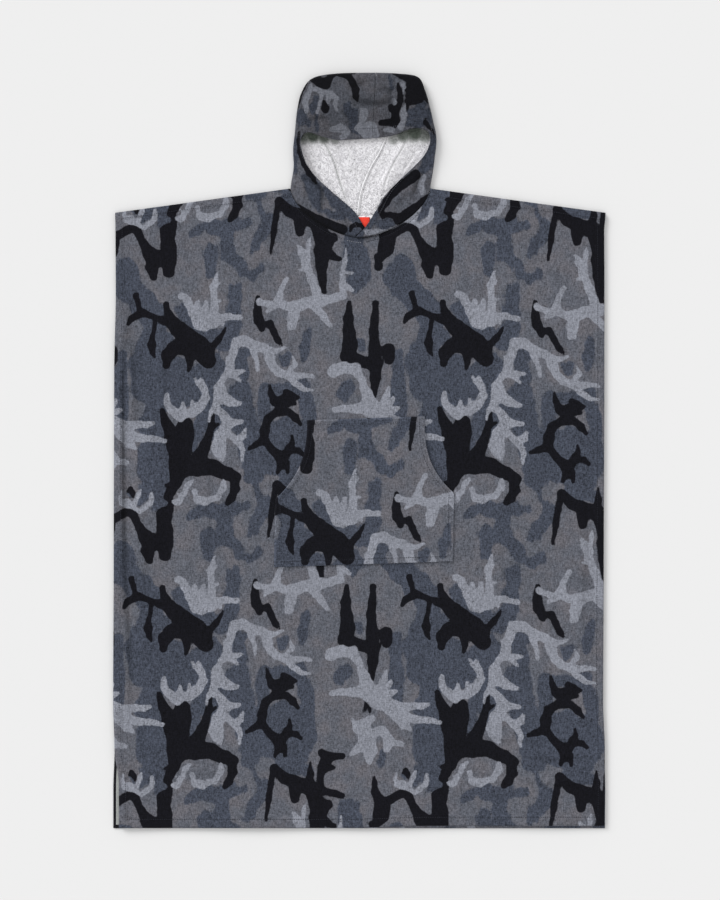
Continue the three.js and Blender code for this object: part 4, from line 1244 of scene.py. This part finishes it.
# How much further than the face opening the loops reach
LOOP_MARGIN = 1.07
# The back's rows and columns where loops can show at the neck
BACK_LOOPS = (slice(-40, -6), slice(None, None, 2))
# The label, under which no loops stand: its left, right, bottom and top, and how thick it is
LABEL = (-16.5, 17.0, 352.0, 381.0)
LABEL_THICK = 0.6
# How far down it steps from the turned neckline to the plain wall
LABEL_STEP = (13, 21)
# A stitch and a loop are both a tube of so many rings of so many corners
RINGS = 4
CORNERS = 3


def tube_faces(count):
    """The faces of many short tubes, open at both ends."""
    ring = np.arange(CORNERS)
    level = CORNERS * np.arange(RINGS - 1)[:, None]
    start, after = ring + level, (ring + 1) % CORNERS + level
    one = np.stack([start, after, after + CORNERS, start + CORNERS], -1).reshape(-1, 4)
    return (one + RINGS * CORNERS * np.arange(count)[:, None, None]).reshape(-1, 4).tolist()


def make_stitches(name, lines, material):
    """Bars of thread laid end to end along lines of points on a cloth."""
    bars = []
    for line in lines:
        run = run_along(line)
        starts = np.arange(STITCH["pitch"] / 2, run[-1] - STITCH["length"], STITCH["pitch"])
        places = starts[:, None] + STITCH["length"] * np.array([0, 0.2, 0.8, 1])
        middle = np.stack([np.interp(places, run, line[:, axis]) for axis in range(3)], -1)
        along = middle[:, -1] - middle[:, 0]
        aside = np.cross(along, UP)
        aside /= np.linalg.norm(aside, axis=1, keepdims=True)
        thick = np.array([STITCH["end"], 1, 1, STITCH["end"]])[:, None]
        half = aside[:, None] * thick * STITCH["half_width"]
        left, right = middle - half - UP * STITCH["sunk"], middle + half - UP * STITCH["sunk"]
        top = middle + UP * STITCH["height"] * (thick - STITCH["end"]) / (1 - STITCH["end"])
        bars.append(np.stack([left, top, right], 2))
    bars = np.concatenate(bars)
    faces = tube_faces(len(bars))
    first = RINGS * CORNERS * np.arange(len(bars))[:, None]
    ring = np.arange(CORNERS)
    faces += (first + ring[::-1]).tolist() + (first + (RINGS - 1) * CORNERS + ring).tolist()
    return link_mesh(name, bars.reshape(-1, 3), faces, [material])


def inside_outline(outline, x, y):
    """Whether places lie inside a closed outline."""
    inside = np.zeros(x.shape, bool)
    for (x1, y1), (x2, y2) in zip(outline, np.roll(outline, -1, axis=0)):
        if y1 != y2:
            inside ^= ((y1 > y) != (y2 > y)) & (x < x1 + (y - y1) * (x2 - x1) / (y2 - y1))
    return inside


def make_loops(name, grid, outline, material):
    """Loops of towelling that stand on a grid of points, as far as they show inside an outline."""
    a, b, c, d = grid[:-1, :-1], grid[:-1, 1:], grid[1:, 1:], grid[1:, :-1]
    first, second = c - a, d - b
    area = np.abs(first[..., 0] * second[..., 1] - first[..., 1] * second[..., 0]) / 2
    count = rng.poisson(area / LOOP["area"])
    a, b, c, d = (np.repeat(corner.reshape(-1, 3), count.reshape(-1), axis=0) for corner in (a, b, c, d))
    u, v = rng.random((2, len(a), 1))
    foot = (a * (1 - u) + b * u) * (1 - v) + (d * (1 - u) + c * u) * v
    x, y = foot[:, 0], foot[:, 1]
    under_label = (x > LABEL[0]) & (x < LABEL[1]) & (y > LABEL[2]) & (y < LABEL[3])
    flat = crease_height(HOOD_INSIDE_CREASES, x, y) > -LOOP["deepest"]
    foot = foot[inside_outline(outline, x, y) & flat & ~under_label]
    turn = rng.uniform(0, 2 * np.pi, len(foot))
    size = rng.uniform(*LOOP["sizes"], len(foot))[:, None, None]
    way = np.stack([np.cos(turn), np.sin(turn), 0 * turn], -1)[:, None]
    aside = np.cross(way, UP)
    along = np.array([-1, -0.55, 0.55, 1])[:, None]
    rise = np.array([-0.2, 0.9, 1, -0.2])[:, None]
    middle = foot[:, None] + size * (way * along * LOOP["reach"] + UP * rise * LOOP["height"])
    lean = np.array([-1, -0.7, 0.7, 1])[:, None]
    lift = np.array([0, 0.7, 0.7, 0])[:, None]
    across = way * lean + UP * lift
    sides = [middle + LOOP["radius"] * (aside * math.cos(angle) + across * math.sin(angle))
             for angle in np.arange(CORNERS) * 2 * np.pi / CORNERS]
    points = np.stack(sides, 2).reshape(-1, 3)
    piece = link_mesh(name, points, tube_faces(len(foot)), [material])
    add_layer(piece, "dusk", dusk_at(points[:, 0], points[:, 1]))
    return piece


# Materials


def linear(level):
    """A level from 0 to 255, as a screen shows it, as a share of light."""
    return ((level / 255 + 0.055) / 1.055) ** 2.4 if level > 10 else level / 255 / 12.92


def lit(colour, gain=1.0):
    """A screen's colour as a material takes it."""
    return (*[min(linear(level) * gain, 1.0) for level in colour], 1.0)


class Nodes:
    """A short way to write a material's nodes."""

    def __init__(self, name):
        self.material = bpy.data.materials.new(name)
        self.material.use_nodes = True
        self.tree = self.material.node_tree
        self.shader = self.tree.nodes["Principled BSDF"]
        self.place = self.add("ShaderNodeTexCoord").outputs["Object"]

    def add(self, kind, inputs=None, **settings):
        node = self.tree.nodes.new(kind)
        for key, value in settings.items():
            setattr(node, key, value)
        for key, value in (inputs or {}).items():
            self.put(node.inputs[key], value)
        return node

    def put(self, socket, value):
        if isinstance(value, bpy.types.NodeSocket):
            self.tree.links.new(value, socket)
        else:
            socket.default_value = value

    def math(self, operation, *values):
        node = self.add("ShaderNodeMath", operation=operation)
        for socket, value in zip(node.inputs, values):
            self.put(socket, value)
        return node.outputs[0]

    def total(self, *values):
        result = values[0]
        for value in values[1:]:
            result = self.math("ADD", result, value)
        return result

    def mix(self, factor, first, second, blend="MIX"):
        node = self.add("ShaderNodeMix", data_type="RGBA", blend_type=blend)
        self.put(node.inputs[0], factor)
        self.put(node.inputs[6], first)
        self.put(node.inputs[7], second)
        return node.outputs[2]

    def range(self, value, low, high):
        node = self.add("ShaderNodeMapRange", {"Value": value, "From Min": low, "From Max": high})
        node.interpolation_type = "SMOOTHSTEP"
        return node.outputs[0]

    def noise(self, across, along, detail=2.0, roughness=0.5, strength=1.0):
        """Noise of so many grains a metre each way, about nothing and times a strength."""
        scale = {"Vector": self.place, "Scale": (across, along, across)}
        place = self.add("ShaderNodeMapping", scale).outputs[0]
        grains = {"Vector": place, "Scale": 1.0, "Detail": detail, "Roughness": roughness}
        node = self.add("ShaderNodeTexNoise", grains)
        return self.math("MULTIPLY", self.math("SUBTRACT", node.outputs[0], 0.5), strength)

    def attribute(self, key):
        return self.add("ShaderNodeAttribute", attribute_name=key).outputs["Fac"]

    def times(self, colour, light):
        shade = self.add("ShaderNodeCombineColor", {"Red": light, "Green": light, "Blue": light}).outputs[0]
        return self.mix(1.0, colour, shade, "MULTIPLY")

    def bump(self, height, strength, distance):
        bump = self.add("ShaderNodeBump", {"Strength": strength, "Distance": distance, "Height": height})
        self.put(self.shader.inputs["Normal"], bump.outputs[0])

    def surface(self, colour, roughness, specular):
        self.put(self.shader.inputs["Base Color"], colour)
        self.put(self.shader.inputs["Roughness"], roughness)
        self.put(self.shader.inputs["Specular IOR Level"], specular)


# The cloth's two ground colours, its inks, and the gain that makes up for the light
GROUND = (94, 97, 106)
WARM_GROUND = (98, 97, 103)
SLATE_INK = (67, 72, 84)
BLACK_INK = (16, 16, 22)
PALE_INK = (134, 137, 147)
INK_GAIN = 0.95


def print_material():
    """Printed velour: the layers over each other, with a ragged edge each, and the grain of the pile."""
    n = Nodes("printed_velour")
    upright = n.noise(500.0, 190.0, 1.0, strength=1.8)
    level = n.noise(190.0, 500.0, 1.0, strength=1.3)
    speckle = n.noise(620.0, 620.0, 2.0, 0.65, strength=1.8)
    grain = n.total(upright, level, speckle)
    cloud = n.noise(26.0, 26.0, 3.0, 0.6)
    streak = n.noise(100.0, 17.0, 2.0, 0.6, strength=12.0)
    ragged = n.noise(240.0, 240.0, 3.0, 0.6, strength=3.0)

    def layer(key, soft, *offsets):
        return n.range(n.total(n.attribute(key), *offsets), soft, -soft)

    slate = layer("slate", 1.9, streak, n.math("MULTIPLY", ragged, 0.8))
    black = layer("black", 0.8, n.math("MULTIPLY", ragged, 0.4))
    pale = layer("pale", 0.9, n.math("MULTIPLY", ragged, 0.7))
    ground = n.mix(n.range(cloud, -0.15, 0.2), lit(GROUND, INK_GAIN), lit(WARM_GROUND, INK_GAIN))
    colour = n.mix(slate, ground, lit(SLATE_INK, INK_GAIN))
    colour = n.mix(black, colour, lit(BLACK_INK, INK_GAIN))
    colour = n.mix(pale, colour, lit(PALE_INK, INK_GAIN))
    rough = n.total(0.74, n.math("MULTIPLY", slate, 0.2), n.math("MULTIPLY", pale, -0.18))
    light = n.total(1.0, n.math("MULTIPLY", grain, rough), n.math("MULTIPLY", cloud, 0.42))
    # The dim layer takes light off: painted shade in creases and along the neck's seam, a painted highlight
    # where it is below nothing on the pocket's rolled edge, and the hood and crown darker
    light = n.math("MULTIPLY", light, n.math("SUBTRACT", 1.0, n.attribute("dim")))
    colour = n.times(colour, n.math("MAXIMUM", light, 0.25))
    n.surface(colour, 0.92, 0.1)
    n.put(n.shader.inputs["Sheen Weight"], 0.08)
    n.put(n.shader.inputs["Sheen Roughness"], 0.5)
    n.put(n.shader.inputs["Sheen Tint"], (0.75, 0.77, 0.85, 1.0))
    n.bump(grain, 0.35, 0.0007)
    return n.material


def terry_material():
    """White towelling, with flecks between its loops."""
    n = Nodes("terry_loops")
    speckle = n.noise(430.0, 430.0, 2.0, 0.6, strength=0.72)
    grain = n.noise(800.0, 800.0, 2.0, 0.6, strength=0.48)
    patches = n.noise(110.0, 110.0, 3.0, 0.6, strength=0.3)
    flecks = n.math("MULTIPLY", n.range(n.noise(260.0, 260.0, 1.0), -0.2, -0.26), -0.46)
    colour = n.times(lit((233, 232, 235)), n.total(1.0, speckle, grain, patches, flecks))
    colour = n.mix(n.attribute("dusk"), colour, lit((98, 106, 98)))
    n.surface(colour, 0.95, 0.1)
    n.bump(n.total(speckle, grain), 0.6, 0.0012)
    return n.material


def plain_material(name, colour, roughness, ribs):
    """Thread or ribbon of one colour, with fine ribs."""
    n = Nodes(name)
    shade = n.noise(60.0, 60.0, 2.0, strength=0.3)
    grain = n.noise(500.0, 900.0, 1.0, strength=0.3)
    n.surface(n.times(lit(colour), n.total(1.0, shade, grain)), roughness, 0.15)
    n.bump(n.noise(180.0, 2600.0, 1.0), ribs, 0.0004)
    return n.material


# The pieces

velour = print_material()
terry = terry_material()
thread = plain_material("thread", (44, 46, 54), 0.7, 0.2)
grey_thread = plain_material("grey_thread", (84, 86, 94), 0.7, 0.2)
pale_thread = plain_material("pale_thread", (150, 151, 158), 0.7, 0.2)
red_ribbon = plain_material("red_ribbon", (242, 72, 55), 0.6, 0.5)


def make_label():
    """The ribbon, which lies on the back's turned neckline and, further down, on its plain wall."""
    x = np.linspace(LABEL[0], LABEL[1], 24)
    down = np.array([0, 0.2, 0.8, 6, 10, 14, 17.5, 21, 25, 28, 28.8, 29])
    gx, gd = np.meshgrid(x, down)
    low = WALL + SEAM_GAP + TURNING * (1 - ease(gd, *LABEL_STEP)) + 0.1 * np.sin(gx / 6)
    low = np.dstack([gx, LABEL[3] - gd, low])
    return shell("label_ribbon", low + UP * LABEL_THICK, low, 0, 0, {}, [red_ribbon])


def side_rows(top):
    """The points along the stitches at the left and the right side of a cloth."""
    return top[STITCHED:-STITCHED, STITCHED], top[STITCHED:-STITCHED, -1 - STITCHED]


front, front_top = make_front([velour, terry])
back, back_top = make_back([velour, terry])
pocket, pocket_top = make_pocket([velour, terry])
hood_left, left_inside, left_stitched, left_edge = make_hood_half(-1, [velour, terry])
hood_right, right_inside, right_stitched, right_edge = make_hood_half(1, [velour, terry])
label = make_label()

neck_row = front_top[NECK_STITCHED]
neck_left, neck_middle, neck_right = (
    neck_row[(neck_row[:, 0] > start) & (neck_row[:, 0] < end)]
    for start, end in itertools.pairwise((NECK_LEFT, *PALE_STITCHES, NECK_RIGHT)))
shoulder_row = front_top[-1 - STITCHED, STITCHED:-STITCHED]
front_stitches = make_stitches("front_stitches", [
    *side_rows(front_top), front_top[STITCHED, STITCHED:-STITCHED], neck_left, neck_right,
    shoulder_row[shoulder_row[:, 0] < NECK_LEFT], shoulder_row[shoulder_row[:, 0] > NECK_RIGHT],
], thread)
neck_stitches = make_stitches("neck_stitches", [neck_middle], pale_thread)
pocket_stitches = make_stitches("pocket_stitches", [
    pocket_top[STITCHED, STITCHED:-STITCHED], pocket_top[-1 - STITCHED, STITCHED:-STITCHED],
    *side_rows(pocket_top),
], thread)
left_stitches = make_stitches("hood_left_stitches", [left_stitched], grey_thread)
right_stitches = make_stitches("hood_right_stitches", [right_stitched], grey_thread)

outline = np.concatenate([left_edge, right_edge[::-1]])
outline = outline.mean(0) + (outline - outline.mean(0)) * LOOP_MARGIN
left_loops = make_loops("hood_left_loops", left_inside, outline, terry)
right_loops = make_loops("hood_right_loops", right_inside, outline, terry)
back_loops = make_loops("back_loops", back_top[BACK_LOOPS], outline, terry)

for piece, node in ((front, "front"), (back, "back"), (pocket, "pocket"), (hood_left, "hood_left"),
                    (hood_right, "hood_right"), (label, "neck_label")):
    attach(piece, "root")
    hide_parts(node)
for piece in (front_stitches, neck_stitches, pocket_stitches, left_stitches, right_stitches,
              left_loops, right_loops, back_loops):
    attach(piece, "root")

# The floor, the light and the camera

FLOOR_SIZE = 14
FLOOR_Z = -0.0002
SUN_HEIGHT = math.radians(27)
# The camera's picture is as high as this many pixels of so many millimetres each
PICTURE_ROWS = 900
PIXEL = 1.6327

bpy.ops.mesh.primitive_plane_add(size=FLOOR_SIZE, location=(0, 0, FLOOR_Z))
floor = bpy.context.object
floor.name = "floor"
paper = Nodes("paper")
paper.surface((0.8, 0.8, 0.8, 1.0), 1.0, 0.0)
floor.data.materials.append(paper.material)

world = bpy.data.worlds.new("studio")
world.use_nodes = True
world.node_tree.nodes["Background"].inputs["Color"].default_value = (1.0, 1.0, 1.0, 1.0)
world.node_tree.nodes["Background"].inputs["Strength"].default_value = 0.775
bpy.context.scene.world = world

sun = bpy.data.lights.new("window", "SUN")
sun.energy = 2.1
sun.angle = math.radians(26)
lamp = bpy.data.objects.new("window", sun)
shine = Vector((math.cos(SUN_HEIGHT), -math.cos(SUN_HEIGHT), -math.sin(SUN_HEIGHT) * math.sqrt(2)))
lamp.rotation_euler = shine.to_track_quat("-Z", "Y").to_euler()
bpy.context.scene.collection.objects.link(lamp)

camera = bpy.data.cameras.new("overhead")
camera.lens = 85
camera.sensor_width = 36
stand = bpy.data.objects.new("overhead", camera)
stand.location = (0.0011, 0.0012, PICTURE_ROWS * PIXEL * MM * camera.lens / camera.sensor_width)
bpy.context.scene.collection.objects.link(stand)
bpy.context.scene.camera = stand
bpy.context.scene.view_settings.view_transform = "Standard"
